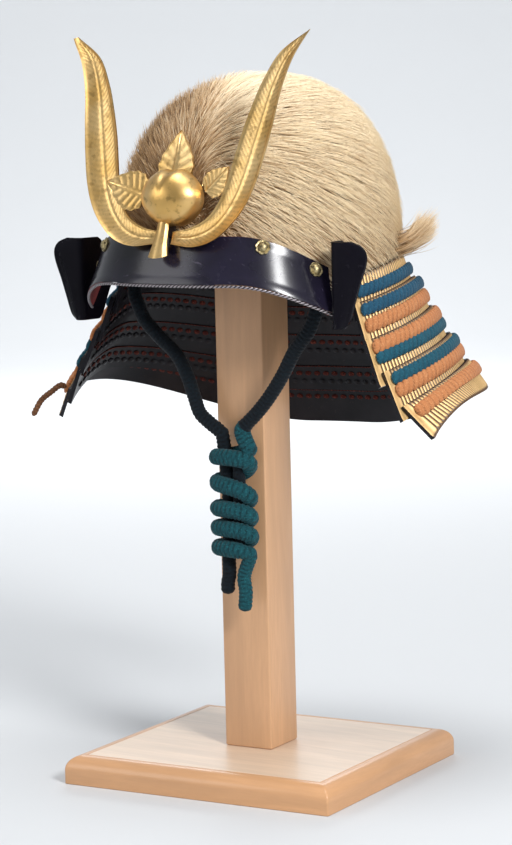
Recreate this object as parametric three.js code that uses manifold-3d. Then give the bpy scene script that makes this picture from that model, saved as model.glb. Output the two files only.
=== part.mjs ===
// Kabuto samurai helmet on a plain wooden post stand.
// Millimetres, +Z up, the helmet faces -Y, and the origin is the centre of the base's underside.
import * as THREE from 'three';
import { mergeVertices } from 'three/addons/utils/BufferGeometryUtils.js';
import Module from 'manifold-3d';

const wasm = await Module();
wasm.setup();

// ---------------------------------------------------------------- driving dimensions
const GAP = 0.4; // clearance kept between pieces that touch

const STAND = { turnDeg: 4.3, baseX: 270, baseY: 245, baseZ: 25, edgeRadius: 12.5, post: 48, postRound: 1.6 };

// outer form of the haired crown: a superellipse that rises from z over an elliptical plan
const DOME = { z: 469, height: 160, halfWidth: 126, halfLength: 130, centreY: 12, power: 2.3 };
const BOWL = { inset: 11, rimInset: 3.0, wall: 2.2 };
const RIM = { hairLift: 1, bowlLift: -5, frontRise: 27 };
const HAIR = { columns: 46, rows: 9, locks: 23, lockDepth: 1.6 };

const BROW = {
  power: 2.3,
  wall: 2.0,
  top: { tip: 117, front: -121, tipY: -54, z: 493, drop: 29, from: 55, curve: 2.5 },
  bottom: { tip: 129, front: -134, tipY: -65, z: 453, drop: 27, from: 60, curve: 2.3 },
};
const ROPE_RADIUS = 1.3;
const RIVET = { washer: 6.6, dome: 4.4, height: 3.4, petals: 8 };

const FLAP = { wall: 1.8, bendX: 132, bendY: -74.5, bendRadius: 5, rootX: 128, rootY: -32, wingSweep: 4 };

// the neck guard hangs lowest a little to the wearer's right of the nape (degrees from +X), and its edges
// start to fall towards the front corners this many degrees behind the side
const NECK = { centreY: 12, wall: 2.4, columns: 28, lowestDeg: 101, fallFromRight: 25, fallFromLeft: 5 };
// each lame's upper and lower edge: heights at the side, nape and front corner, half width, nape reach,
// how far past the side it ends (degrees), and how sharply it falls to the corner
const LAMES = [
  { top: { side: 466.5, nape: 448, corner: 453, half: 127, reach: 146, end: 17, fall: 1.4 },
    bottom: { side: 432, nape: 412, corner: 416, half: 137, reach: 158, end: 17, fall: 1.4 } },
  { top: { side: 447, nape: 427, corner: 431, half: 136.5, reach: 160, end: 18, fall: 1.4 },
    bottom: { side: 411, nape: 390, corner: 390, half: 152.7, reach: 171, end: 18, fall: 1.4 } },
  { top: { side: 420, nape: 403, corner: 400, half: 152.6, reach: 171, end: 19, fall: 1.4 },
    bottom: { side: 383, nape: 358, corner: 361, half: 170.3, reach: 184.5, end: 19, fall: 1.4 } },
  { top: { side: 396, nape: 371, corner: 374, half: 169.6, reach: 184.6, end: 17.5, fall: 1.5 },
    bottom: { side: 359, nape: 327, corner: 332, half: 187, reach: 198, end: 16, fall: 1.6 } },
  { top: { side: 372, nape: 340, corner: 345, half: 186, reach: 198.5, end: 15.5, fall: 1.7 },
    bottom: { side: 347, nape: 295, corner: 317, half: 205, reach: 212, end: 10.5, fall: 4 } },
];
// braided lacing rows: the lame each lies on, and how far down that lame it runs
const LACES = [
  { name: 'lace_blue_1', lame: 0, at: 0.40, colour: '#1f4f6d' },
  { name: 'lace_blue_2', lame: 1, at: 0.19, colour: '#1f4f6d' },
  { name: 'lace_orange_1', lame: 1, at: 0.52, colour: '#c97a45' },
  { name: 'lace_orange_2', lame: 2, at: 0.20, colour: '#c97a45' },
  { name: 'lace_teal_1', lame: 2, at: 0.44, colour: '#1d5a6b' },
  { name: 'lace_teal_2', lame: 3, at: 0.20, colour: '#1d5a6b' },
  { name: 'lace_orange_3', lame: 3, at: 0.44, colour: '#c97a45' },
  { name: 'lace_orange_4', lame: 4, at: 0.31, colour: '#c97a45' },
];
const LACE = { tall: 7.2, thick: 4.0, steps: 24 };

// horn outline, root to tip: outer edge and inner edge, across (x) and up (z)
const HORN = [
  { outerX: 9, outerZ: 487, innerX: 7, innerZ: 497 },
  { outerX: 32, outerZ: 485, innerX: 26, innerZ: 501 },
  { outerX: 51, outerZ: 490, innerX: 41, innerZ: 509 },
  { outerX: 66, outerZ: 501, innerX: 51, innerZ: 522 },
  { outerX: 79, outerZ: 517, innerX: 57, innerZ: 538 },
  { outerX: 88, outerZ: 537, innerX: 61, innerZ: 556 },
  { outerX: 94, outerZ: 561, innerX: 66, innerZ: 578 },
  { outerX: 99, outerZ: 589, innerX: 73, innerZ: 601 },
  { outerX: 103, outerZ: 616, innerX: 82, innerZ: 624 },
  { outerX: 111, outerZ: 642, innerX: 96, innerZ: 647 },
  { outerX: 124, outerZ: 664, innerX: 122.6, innerZ: 665 },
];
const CREST = { rootY: -129.5, rootZ: 486, leanY: 46, leanOver: 178, dish: 3, wall: 1.6 };
const FRUIT = { x: 4, backY: -116.5, z: 526, halfWidth: 30, halfHeight: 25.5, depth: 25 };
// leaves round the fruit: base, tip, widest half width, and how far the tip lifts off the crest
const LEAVES = [
  { name: 'crest_leaf_centre', baseX: 0, baseZ: 536, tipX: 2, tipZ: 583, half: 18, lift: 0 },
  { name: 'crest_leaf_left', baseX: -28.5, baseZ: 528, tipX: -64, tipZ: 540, half: 17, lift: 10 },
  { name: 'crest_leaf_right', baseX: 37, baseZ: 531, tipX: 56, tipZ: 552, half: 12, lift: 0 },
];

const CORD = { diameter: 12, sides: 8, steps: 15 };
const CHIN_RING = { x: 99, y: -38, z: 457.5, radius: 9, wire: 1.6 };
const KNOT = { x: 6, y: -43, halfWidth: 24, halfDepth: 16, top: 303, bottom: 193 };
const CHIN_LEFT = [
  [-99, -39, 446.4], [-99, -41, 440], [-97, -43, 433], [-93, -44, 426], [-86, -44, 412], [-70, -44, 397],
  [-52, -44, 382], [-41, -44, 364], [-34, -44, 346], [-28, -44, 331], [-17, -44, 322], [-8, -43.5, 316],
  [-4.6, -43, 311], [-4.4, -43, 304.2],
];
const CHIN_RIGHT = [
  [99, -39, 446.4], [100, -41, 438], [98, -44, 425], [90, -44, 408], [75, -44, 390], [61, -44, 367],
  [46, -44, 347], [33, -44, 333], [22, -44, 323], [17.2, -43.5, 316], [16.2, -43, 310], [16, -43, 304],
];
const END_DARK = [[-1, -43, 192.2], [-1, -43, 187], [-2.5, -43.5, 179], [-2, -44, 169]];
const END_TEAL = [[15, -43, 192.2], [15.1, -43, 187], [17, -44, 172], [16, -45, 155]];
const LACE_END = { diameter: 6, points: [[-186, -41.5, 350], [-194, -46, 343], [-202, -52, 335], [-207, -59, 321]] };

const TUFT = { baseAt: 26, baseZ: 474, length: 34, rise: 17, radius: 8 };

// ---------------------------------------------------------------- materials
const finish = (color, roughness, metalness) => new THREE.MeshStandardMaterial({ color, roughness, metalness });
const MATERIAL = {
  wood: finish('#cfa574', 0.45, 0),
  iron: finish('#20181a', 0.5, 0.4),
  hair: finish('#b99a6a', 0.8, 0),
  lacquer: finish('#14121c', 0.2, 0),
  goldLacquer: finish('#c9a253', 0.4, 0.5),
  gilt: finish('#b98a2e', 0.35, 0.9),
  brass: finish('#a08a54', 0.4, 0.9),
  rope: finish('#77737a', 0.5, 0.4),
  cord: finish('#16262f', 0.9, 0),
  knot: finish('#1c5560', 0.9, 0),
};

// ---------------------------------------------------------------- solids from grids
const smooth = (from, to, value) => THREE.MathUtils.smoothstep(value, from, to);
const mix = THREE.MathUtils.lerp;
const radians = THREE.MathUtils.degToRad;

// welds shared corners, drops collapsed faces and turns the faces outwards
function closeSolid(points, faces) {
  const geometry = new THREE.BufferGeometry();
  geometry.setAttribute('position', new THREE.Float32BufferAttribute(points.flatMap((p) => p.toArray()), 3));
  geometry.setIndex(faces);
  const welded = mergeVertices(geometry, 1e-3);
  const kept = [];
  const index = welded.index.array;
  for (let i = 0; i < index.length; i += 3) {
    const [a, b, c] = [index[i], index[i + 1], index[i + 2]];
    if (a !== b && b !== c && c !== a) kept.push(a, b, c);
  }
  const at = (k) => new THREE.Vector3().fromBufferAttribute(welded.attributes.position, k);
  let volume = 0;
  for (let i = 0; i < kept.length; i += 3) volume += at(kept[i]).dot(at(kept[i + 1]).cross(at(kept[i + 2])));
  welded.setIndex(volume > 0 ? kept : kept.reverse());
  return welded;
}

// a wall between an outer and an inner grid of points; ring closes each row on itself
function wallSolid(outer, inner, ring = false) {
  const rows = outer.length;
  const columns = outer[0].length;
  const at = (side, i, j) => side * rows * columns + i * columns + (j % columns);
  const faces = [];
  const quad = (a, b, c, d) => faces.push(a, b, c, a, c, d);
  const spans = ring ? columns : columns - 1;
  for (let j = 0; j < spans; j += 1) {
    for (let i = 0; i < rows - 1; i += 1) {
      quad(at(0, i, j), at(0, i, j + 1), at(0, i + 1, j + 1), at(0, i + 1, j));
      quad(at(1, i, j), at(1, i + 1, j), at(1, i + 1, j + 1), at(1, i, j + 1));
    }
    quad(at(0, 0, j), at(1, 0, j), at(1, 0, j + 1), at(0, 0, j + 1));
    quad(at(0, rows - 1, j), at(0, rows - 1, j + 1), at(1, rows - 1, j + 1), at(1, rows - 1, j));
  }
  if (!ring) {
    for (let i = 0; i < rows - 1; i += 1) {
      quad(at(0, i, 0), at(0, i + 1, 0), at(1, i + 1, 0), at(1, i, 0));
      quad(at(0, i, columns - 1), at(1, i, columns - 1), at(1, i + 1, columns - 1), at(0, i + 1, columns - 1));
    }
  }
  return closeSolid([...outer.flat(), ...inner.flat()], faces);
}

// a solid through closed sections, each a loop of the same number of points
function sectionSolid(sections) {
  const sides = sections[0].length;
  const last = (sections.length - 1) * sides;
  const faces = [];
  for (let i = 0; i < sections.length - 1; i += 1) {
    for (let j = 0; j < sides; j += 1) {
      const [a, b] = [i * sides + j, i * sides + ((j + 1) % sides)];
      faces.push(a, b, b + sides, a, b + sides, a + sides);
    }
  }
  for (let j = 1; j < sides - 1; j += 1) {
    faces.push(0, j + 1, j);
    faces.push(last, last + j, last + j + 1);
  }
  return closeSolid(sections.flat(), faces);
}

// a round tube along a smooth curve through the points
function tube(points, diameter, sides, steps) {
  const section = new THREE.Shape();
  for (let i = 0; i < sides; i += 1) {
    const angle = (2 * Math.PI * i) / sides;
    const [x, y] = [(diameter / 2) * Math.cos(angle), (diameter / 2) * Math.sin(angle)];
    if (i === 0) section.moveTo(x, y);
    else section.lineTo(x, y);
  }
  section.closePath();
  const path = new THREE.CatmullRomCurve3(points.map((p) => new THREE.Vector3(...p)));
  return new THREE.ExtrudeGeometry(section, { steps, extrudePath: path, bevelEnabled: false });
}

// joins solids into one body
function fuse(geometries) {
  const solids = geometries.map((geometry) => {
    const bare = geometry.clone();
    bare.deleteAttribute('normal');
    bare.deleteAttribute('uv');
    const welded = mergeVertices(bare.index ? bare.toNonIndexed() : bare, 1e-3);
    return new wasm.Manifold(new wasm.Mesh({
      numProp: 3,
      vertProperties: new Float32Array(welded.attributes.position.array),
      triVerts: new Uint32Array(welded.index.array),
    }));
  });
  const joined = solids.slice(1).reduce((whole, next) => whole.add(next), solids[0]).getMesh();
  const geometry = new THREE.BufferGeometry();
  geometry.setAttribute('position', new THREE.BufferAttribute(joined.vertProperties, 3));
  geometry.setIndex(new THREE.BufferAttribute(joined.triVerts, 1));
  return geometry;
}

function addPiece(group, name, geometry, material) {
  const mesh = new THREE.Mesh(geometry, material);
  mesh.name = name;
  group.add(mesh);
  return mesh;
}

// the same points on the other side of the helmet
const mirrored = (grid) => grid.map((row) => row.map((p) => new THREE.Vector3(-p.x, p.y, p.z)));

// ---------------------------------------------------------------- stand
function squareLoop(halfX, halfY, z, round) {
  const loop = [];
  for (const [sx, sy, from] of [[1, 1, 0], [-1, 1, 90], [-1, -1, 180], [1, -1, 270]]) {
    for (const turn of [0, 45, 90]) {
      const angle = radians(from + turn);
      loop.push(new THREE.Vector3(
        sx * (halfX - round) + round * Math.cos(angle),
        sy * (halfY - round) + round * Math.sin(angle),
        z,
      ));
    }
  }
  return loop;
}

function standBase() {
  const { baseX, baseY, baseZ, edgeRadius } = STAND;
  const sections = [squareLoop(baseX / 2, baseY / 2, 0, 2)];
  for (const angle of [0, 18, 36, 54, 72, 90].map(radians)) {
    const inset = edgeRadius * (1 - Math.cos(angle));
    const z = baseZ - edgeRadius + edgeRadius * Math.sin(angle);
    sections.push(squareLoop(baseX / 2 - inset, baseY / 2 - inset, z, 2));
  }
  return sectionSolid(sections);
}

function standPost() {
  const half = STAND.post / 2;
  const corner = Math.hypot(half, half + DOME.centreY);
  const inset = BOWL.inset + BOWL.wall;
  const reach = DOME.halfWidth - inset;
  const rise = (DOME.height - inset) * (1 - (corner / reach) ** DOME.power) ** (1 / DOME.power);
  const top = DOME.z + rise - 2;
  return sectionSolid([
    squareLoop(half, half, STAND.baseZ + GAP, STAND.postRound),
    squareLoop(half, half, top, STAND.postRound),
  ]);
}

// ---------------------------------------------------------------- bowl and hair
function domePoint(azimuth, climb, inset) {
  const level = (climb * Math.PI) / 2;
  const across = Math.max(Math.cos(level), 0) ** (2 / DOME.power);
  const up = Math.sin(level) ** (2 / DOME.power);
  return new THREE.Vector3(
    (DOME.halfWidth - inset) * across * Math.cos(azimuth),
    DOME.centreY + (DOME.halfLength - inset) * across * Math.sin(azimuth),
    DOME.z + (DOME.height - inset) * up,
  );
}

// height of a neck guard edge round the helmet: it falls to the nape and to the front corners
function edgeHeight(edge, azimuth) {
  const swing = Math.abs(azimuth - radians(NECK.lowestDeg));
  const drop = 1 - smooth(radians(8), radians(75), swing);
  const right = azimuth < Math.PI / 2;
  const onset = radians(right ? NECK.fallFromRight : NECK.fallFromLeft);
  const behind = right ? azimuth : Math.PI - azimuth;
  const fall = THREE.MathUtils.clamp((onset - behind) / (onset + radians(edge.end)), 0, 1) ** edge.fall;
  return edge.side + (edge.nape - edge.side) * drop + (edge.corner - edge.side) * fall;
}

// height of the crown's lower rim: it follows the first lame and rises over the brow
function rimHeight(azimuth) {
  const turned = azimuth > 1.5 * Math.PI ? azimuth - 2 * Math.PI : azimuth;
  const front = Math.max(-Math.sin(azimuth), 0);
  return edgeHeight(LAMES[0].top, turned) + RIM.frontRise * smooth(0.35, 0.9, front);
}

// rows of points from the rim to the crown; insetAt gives the depth below the hair's surface
function domeGrid(insetAt, rimLift) {
  const { columns, rows } = HAIR;
  const grid = [];
  for (let i = 0; i <= rows; i += 1) {
    const climb = (i / rows) ** 1.15;
    const row = [];
    for (let j = 0; j < columns; j += 1) {
      const azimuth = (2 * Math.PI * j) / columns;
      const point = domePoint(azimuth, climb, insetAt(climb, azimuth));
      if (i === 0) point.z = rimHeight(azimuth) + rimLift;
      row.push(point);
    }
    grid.push(row);
  }
  return grid;
}

function bowlShell() {
  const outerInset = (climb) => mix(BOWL.rimInset, BOWL.inset, smooth(0, 0.12, climb));
  const outer = domeGrid(outerInset, RIM.bowlLift);
  const inner = domeGrid((climb) => outerInset(climb) + BOWL.wall, RIM.bowlLift);
  return wallSolid(outer, inner, true);
}

// hair in locks on a backing that follows the bowl: each lock is a raised ridge that runs down and back
function hairCover() {
  const backing = (climb) => mix(BOWL.rimInset, BOWL.inset, smooth(0, 0.12, climb)) - GAP;
  const lockInset = (climb, azimuth) => {
    const flow = azimuth * (HAIR.locks / 2) + 5 * climb * Math.sin(azimuth * 0.5);
    const fade = Math.sin(Math.PI * Math.min(climb, 1)) ** 0.5;
    return HAIR.lockDepth * fade * Math.abs(Math.sin(flow));
  };
  const outer = domeGrid(lockInset, RIM.hairLift);
  const inner = domeGrid(backing, RIM.hairLift);
  return wallSolid(outer, inner, true);
}

// a pointed lock that springs outwards and up from the crown's right rear
function hairTuft() {
  const azimuth = radians(TUFT.baseAt);
  const outward = new THREE.Vector3(Math.cos(azimuth), Math.sin(azimuth), 0);
  const side = new THREE.Vector3(-outward.y, outward.x, 0);
  const start = domePoint(azimuth, 0.02, -1.2).setZ(TUFT.baseZ);
  const sections = [];
  for (const t of [0, 0.3, 0.6, 0.85, 1]) {
    const centre = start.clone()
      .addScaledVector(outward, TUFT.length * t)
      .add(new THREE.Vector3(0, 0, TUFT.rise * t ** 1.6));
    const radius = TUFT.radius * (1 - 0.9 * t ** 1.5) * (t === 0 ? 0.8 : 1);
    const loop = [];
    for (let k = 0; k < 8; k += 1) {
      const angle = (Math.PI * k) / 4;
      loop.push(centre.clone()
        .addScaledVector(side, radius * Math.cos(angle))
        .add(new THREE.Vector3(0, 0, 0.7 * radius * Math.sin(angle))));
    }
    sections.push(loop);
  }
  return sectionSolid(sections);
}

// ---------------------------------------------------------------- brow
// one edge of the brow: q runs from -1 at the left tip to 1 at the right tip
function browEdge(edge, q, offset = 0) {
  const half = edge.tip / (1 - Math.abs(edge.tipY / edge.front) ** BROW.power) ** (1 / BROW.power);
  const x = edge.tip * Math.sin((q * Math.PI) / 2);
  const y = edge.front * (1 - Math.abs(x / half) ** BROW.power) ** (1 / BROW.power);
  const fall = Math.max((Math.abs(x) - edge.from) / (edge.tip - edge.from), 0) ** edge.curve;
  const outward = new THREE.Vector3(x / half ** 2, y / edge.front ** 2, 0).normalize();
  return new THREE.Vector3(x, y, edge.z - edge.drop * fall).addScaledVector(outward, offset);
}

// a point on the brow: v is 0 at the top edge and 1 at the bottom edge
function browPoint(q, v, offset) {
  return browEdge(BROW.top, q, offset).lerp(browEdge(BROW.bottom, q, offset), v);
}

function browPlate() {
  const grid = (offset) => [0, 0.35, 0.7, 1].map((v) => {
    const row = [];
    for (let j = 0; j <= 36; j += 1) row.push(browPoint(j / 18 - 1, v, offset));
    return row;
  });
  return wallSolid(grid(BROW.wall / 2), grid(-BROW.wall / 2));
}

function browRope() {
  const points = [];
  for (let j = 0; j <= 24; j += 1) {
    const point = browPoint(j / 12 - 1, 1, 0);
    points.push([point.x, point.y, point.z - ROPE_RADIUS - GAP]);
  }
  return tube(points, 2 * ROPE_RADIUS, 6, 40);
}

// a brass dome on a flower washer
function browRivet() {
  const washer = new THREE.Shape();
  const points = 2 * RIVET.petals;
  for (let k = 0; k < points; k += 1) {
    const radius = RIVET.washer * (k % 2 ? 0.86 : 1);
    const angle = (2 * Math.PI * k) / points;
    if (k === 0) washer.moveTo(radius, 0);
    else washer.lineTo(radius * Math.cos(angle), radius * Math.sin(angle));
  }
  const plate = new THREE.ExtrudeGeometry(washer, { depth: 0.9, bevelEnabled: false });
  const profile = [new THREE.Vector2(0, 0.4), new THREE.Vector2(RIVET.dome, 0.4)];
  for (const angle of [25, 50, 75].map(radians)) {
    profile.push(new THREE.Vector2(RIVET.dome * Math.cos(angle), 0.4 + RIVET.height * Math.sin(angle)));
  }
  profile.push(new THREE.Vector2(0, 0.4 + RIVET.height));
  const dome = new THREE.LatheGeometry(profile, 8).rotateX(Math.PI / 2);
  return fuse([plate, dome]);
}

// where the rivets sit along the brow (q) and down it (v)
const RIVET_PLACES = [
  { name: 'brow_rivet_1', q: 0.49, v: 0.16 }, { name: 'brow_rivet_2', q: 0.80, v: 0.20 },
  { name: 'brow_rivet_3', q: -0.49, v: 0.16 }, { name: 'brow_rivet_4', q: -0.80, v: 0.20 },
];

function addRivets(group) {
  for (const { name, q, v } of RIVET_PLACES) {
    const rivet = addPiece(group, name, browRivet(), MATERIAL.brass);
    const along = browPoint(q + 0.01, v, 0).sub(browPoint(q - 0.01, v, 0)).normalize();
    const down = browPoint(q, v + 0.05, 0).sub(browPoint(q, v - 0.05, 0)).normalize();
    const outward = new THREE.Vector3().crossVectors(along, down).normalize();
    if (outward.dot(new THREE.Vector3(Math.sign(q), -1, 0)) < 0) outward.negate();
    rivet.position.copy(browPoint(q, v, 0)).addScaledVector(outward, BROW.wall / 2 + 0.9);
    rivet.quaternion.setFromUnitVectors(new THREE.Vector3(0, 0, 1), outward);
  }
}

// ---------------------------------------------------------------- turn-backs
// the wing's outer edge at each height, bottom to top
const FLAP_EDGE = [
  { z: 413, x: 143 }, { z: 419, x: 148.5 }, { z: 432, x: 153 }, { z: 450, x: 159 },
  { z: 466, x: 165 }, { z: 476, x: 166 }, { z: 483, x: 161 }, { z: 487, x: 151 },
];

function flapGrid(offset) {
  const { bendX, bendY, bendRadius, rootX, rootY } = FLAP;
  return FLAP_EDGE.map(({ z, x }) => {
    const row = [];
    // side part: root to bend, narrowing in height towards the root
    for (const u of [0, 0.35, 0.7]) {
      const narrow = mix(0.26, 1, smooth(0, 0.4, u));
      row.push(new THREE.Vector3(
        mix(rootX, bendX, u / 0.7) + offset,
        mix(rootY, bendY + bendRadius, u / 0.7),
        457 + (z - 457 + (1 - narrow) * 4) * narrow,
      ));
    }
    // bend, then the wing that opens outwards
    for (const turn of [30, 60, 90].map(radians)) {
      row.push(new THREE.Vector3(
        bendX + bendRadius - (bendRadius - offset) * Math.cos(turn),
        bendY + bendRadius - (bendRadius - offset) * Math.sin(turn),
        z,
      ));
    }
    for (const w of [0.5, 1]) {
      const wingX = mix(bendX + bendRadius, x, w);
      row.push(new THREE.Vector3(wingX, bendY + offset + FLAP.wingSweep * w ** 2, z));
    }
    return row;
  });
}

// ---------------------------------------------------------------- neck guard
// a point on a lame: t from one front corner (0) to the other (1), v from its top edge (0) to its bottom (1)
function lamePoint(lame, t, v, offset) {
  const edge = {};
  for (const key of Object.keys(lame.top)) edge[key] = mix(lame.top[key], lame.bottom[key], v);
  const azimuth = radians(mix(-edge.end, 180 + edge.end, t));
  const half = edge.half + offset * 0.9;
  const reach = edge.reach - NECK.centreY + offset * 0.9;
  return new THREE.Vector3(
    half * Math.cos(azimuth),
    NECK.centreY + reach * Math.sin(azimuth),
    edgeHeight(edge, azimuth) + offset * 0.42,
  );
}

function neckLame(lame) {
  const grid = (offset) => [0, 0.5, 1].map((v) => {
    const row = [];
    for (let j = 0; j <= NECK.columns; j += 1) row.push(lamePoint(lame, j / NECK.columns, v, offset));
    return row;
  });
  return wallSolid(grid(0), grid(-NECK.wall));
}

// a braided row lying on a lame, with an oval section
function laceRow({ lame, at }) {
  const plate = LAMES[lame];
  const lift = LACE.thick / 2 + 3 * GAP;
  const sections = [];
  for (let i = 0; i <= LACE.steps; i += 1) {
    const t = mix(0.006, 0.994, i / LACE.steps);
    const centre = lamePoint(plate, t, at, lift);
    const outward = lamePoint(plate, t, at, lift + 1).sub(centre).normalize();
    const down = lamePoint(plate, t, at + 0.02, lift).sub(lamePoint(plate, t, at - 0.02, lift)).normalize();
    const loop = [];
    for (let k = 0; k < 6; k += 1) {
      const angle = (Math.PI * k) / 3;
      loop.push(centre.clone()
        .addScaledVector(down, (LACE.tall / 2) * Math.cos(angle))
        .addScaledVector(outward, (LACE.thick / 2) * Math.sin(angle)));
    }
    sections.push(loop);
  }
  return sectionSolid(sections);
}

// ---------------------------------------------------------------- crest
const crestY = (z) => CREST.rootY + CREST.leanY * Math.max((z - CREST.rootZ) / CREST.leanOver, 0);

// one gilt horn: a leaf-shaped plate with its middle dished back
function hornGrid(offset) {
  return HORN.map(({ outerX, outerZ, innerX, innerZ }) => [0, 0.25, 0.5, 0.75, 1].map((w) => {
    const z = mix(outerZ, innerZ, w);
    const dished = CREST.dish * (1 - (2 * w - 1) ** 2) * Math.min((outerX - innerX) / 12, 1);
    return new THREE.Vector3(mix(outerX, innerX, w), crestY(z) - 3 + 4 * w + dished + offset, z);
  }));
}

// the fruit: a half round with a cleft above, and its stem hanging below
function crestFruit() {
  const { x, backY, z, halfWidth, halfHeight, depth } = FRUIT;
  const rows = 7;
  const sides = 18;
  const outer = [];
  for (let i = 0; i <= rows; i += 1) {
    const level = ((i / rows) * Math.PI) / 2;
    const loop = [];
    for (let k = 0; k < sides; k += 1) {
      const angle = (2 * Math.PI * k) / sides;
      const cleft = 1 - 0.1 * Math.exp(-(((angle - Math.PI / 2) / 0.28) ** 2));
      loop.push(new THREE.Vector3(
        x + halfWidth * Math.cos(level) * Math.cos(angle),
        backY - depth * Math.sin(level),
        z + halfHeight * Math.cos(level) * Math.sin(angle) * cleft,
      ));
    }
    outer.push(loop);
  }
  const stemTable = [
    { y: -128, z: 508, radius: 5 }, { y: -131, z: 498, radius: 6 },
    { y: -135, z: 488, radius: 7 }, { y: -138, z: 478, radius: 9.5 },
  ];
  const stem = stemTable.map((row) => {
    const loop = [];
    for (let k = 0; k < 10; k += 1) {
      const angle = (2 * Math.PI * k) / 10;
      loop.push(new THREE.Vector3(
        row.radius * Math.cos(angle),
        row.y + 0.75 * row.radius * Math.sin(angle),
        row.z + 0.25 * row.radius * Math.sin(angle),
      ));
    }
    return loop;
  });
  return fuse([sectionSolid(outer), sectionSolid(stem)]);
}

// a pointed leaf on the crest's plane, folded a little along its middle
function leafSolid(leaf) {
  const along = new THREE.Vector2(leaf.tipX - leaf.baseX, leaf.tipZ - leaf.baseZ);
  const across = new THREE.Vector2(-along.y, along.x).normalize();
  const grid = (offset) => [0, 0.2, 0.4, 0.6, 0.8, 1].map((s) => [-1, 0, 1].map((w) => {
    const half = leaf.half * Math.sin(Math.PI * mix(0.16, 1, s) ** 0.8) * w;
    const x = leaf.baseX + along.x * s + across.x * half;
    const z = leaf.baseZ + along.y * s + across.y * half;
    const fold = 2.2 * (1 - Math.abs(w)) * (1 - s);
    return new THREE.Vector3(x, crestY(z) + 2.2 - fold + 3 * s * (1 - s) - leaf.lift * s + offset, z);
  }));
  return wallSolid(grid(0), grid(CREST.wall));
}

function crestHolder() {
  return new THREE.BoxGeometry(16, 1.6, 9).translate(0, -123, 497);
}

// ---------------------------------------------------------------- chin cord
function chinKnot() {
  const heights = [0, 0.06, 0.14, 0.2, 0.26, 0.5, 0.74, 0.94, 1];
  const widths = [0.72, 1, 1, 0.8, 0.92, 1, 0.96, 1, 0.72];
  return sectionSolid(heights.map((h, i) => {
    const loop = [];
    for (let k = 0; k < 14; k += 1) {
      const angle = (2 * Math.PI * k) / 14;
      loop.push(new THREE.Vector3(
        KNOT.x + KNOT.halfWidth * widths[i] * Math.cos(angle),
        KNOT.y + KNOT.halfDepth * widths[i] * Math.sin(angle),
        mix(KNOT.top, KNOT.bottom, h),
      ));
    }
    return loop;
  }));
}

function chinRing() {
  return new THREE.TorusGeometry(CHIN_RING.radius, CHIN_RING.wire, 6, 16).rotateY(Math.PI / 2);
}

// ---------------------------------------------------------------- assembly
const stand = new THREE.Group();
stand.rotation.z = radians(STAND.turnDeg);
addPiece(stand, 'stand_base', standBase(), MATERIAL.wood);
addPiece(stand, 'stand_post', standPost(), MATERIAL.wood);

const crown = new THREE.Group();
addPiece(crown, 'bowl_shell', bowlShell(), MATERIAL.iron);
addPiece(crown, 'hair_cover', hairCover(), MATERIAL.hair);
addPiece(crown, 'hair_tuft', hairTuft(), MATERIAL.hair);

const brow = new THREE.Group();
addPiece(brow, 'brow_plate', browPlate(), MATERIAL.lacquer);
addPiece(brow, 'brow_rope_trim', browRope(), MATERIAL.rope);
addRivets(brow);

const neck = new THREE.Group();
const flapWall = [flapGrid(0), flapGrid(FLAP.wall)];
addPiece(neck, 'turn_back_right', wallSolid(...flapWall), MATERIAL.lacquer);
addPiece(neck, 'turn_back_left', wallSolid(...flapWall.map(mirrored)), MATERIAL.lacquer);
LAMES.forEach((lame, k) => addPiece(neck, `neck_lame_${k + 1}`, neckLame(lame), MATERIAL.goldLacquer));
for (const lace of LACES) addPiece(neck, lace.name, laceRow(lace), finish(lace.colour, 0.9, 0));
addPiece(neck, 'lace_end_left', tube(LACE_END.points, LACE_END.diameter, 8, 5), finish('#6b4a2c', 0.9, 0));

const crest = new THREE.Group();
const hornWall = [hornGrid(0), hornGrid(CREST.wall)];
addPiece(crest, 'crest_horn_right', wallSolid(...hornWall), MATERIAL.gilt);
addPiece(crest, 'crest_horn_left', wallSolid(...hornWall.map(mirrored)), MATERIAL.gilt);
addPiece(crest, 'crest_fruit', crestFruit(), MATERIAL.gilt);
for (const leaf of LEAVES) addPiece(crest, leaf.name, leafSolid(leaf), MATERIAL.gilt);
addPiece(crest, 'crest_holder', crestHolder(), MATERIAL.iron);

const chin = new THREE.Group();
for (const [name, side] of [['chin_ring_right', 1], ['chin_ring_left', -1]]) {
  addPiece(chin, name, chinRing(), MATERIAL.iron).position.set(side * CHIN_RING.x, CHIN_RING.y, CHIN_RING.z);
}
addPiece(chin, 'chin_cord_left', tube(CHIN_LEFT, CORD.diameter, CORD.sides, CORD.steps), MATERIAL.cord);
addPiece(chin, 'chin_cord_right', tube(CHIN_RIGHT, CORD.diameter, CORD.sides, CORD.steps), MATERIAL.cord);
addPiece(chin, 'chin_cord_knot', chinKnot(), MATERIAL.knot);
addPiece(chin, 'chin_cord_end_dark', tube(END_DARK, CORD.diameter, CORD.sides, 4), MATERIAL.cord);
addPiece(chin, 'chin_cord_end_teal', tube(END_TEAL, CORD.diameter, CORD.sides, 5), MATERIAL.knot);

const kabuto = new THREE.Group();
kabuto.add(stand, crown, brow, neck, crest, chin);

export default kabuto;
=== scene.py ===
import math
from types import SimpleNamespace

import bpy
import numpy as np
from mathutils import Matrix, Vector


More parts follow.
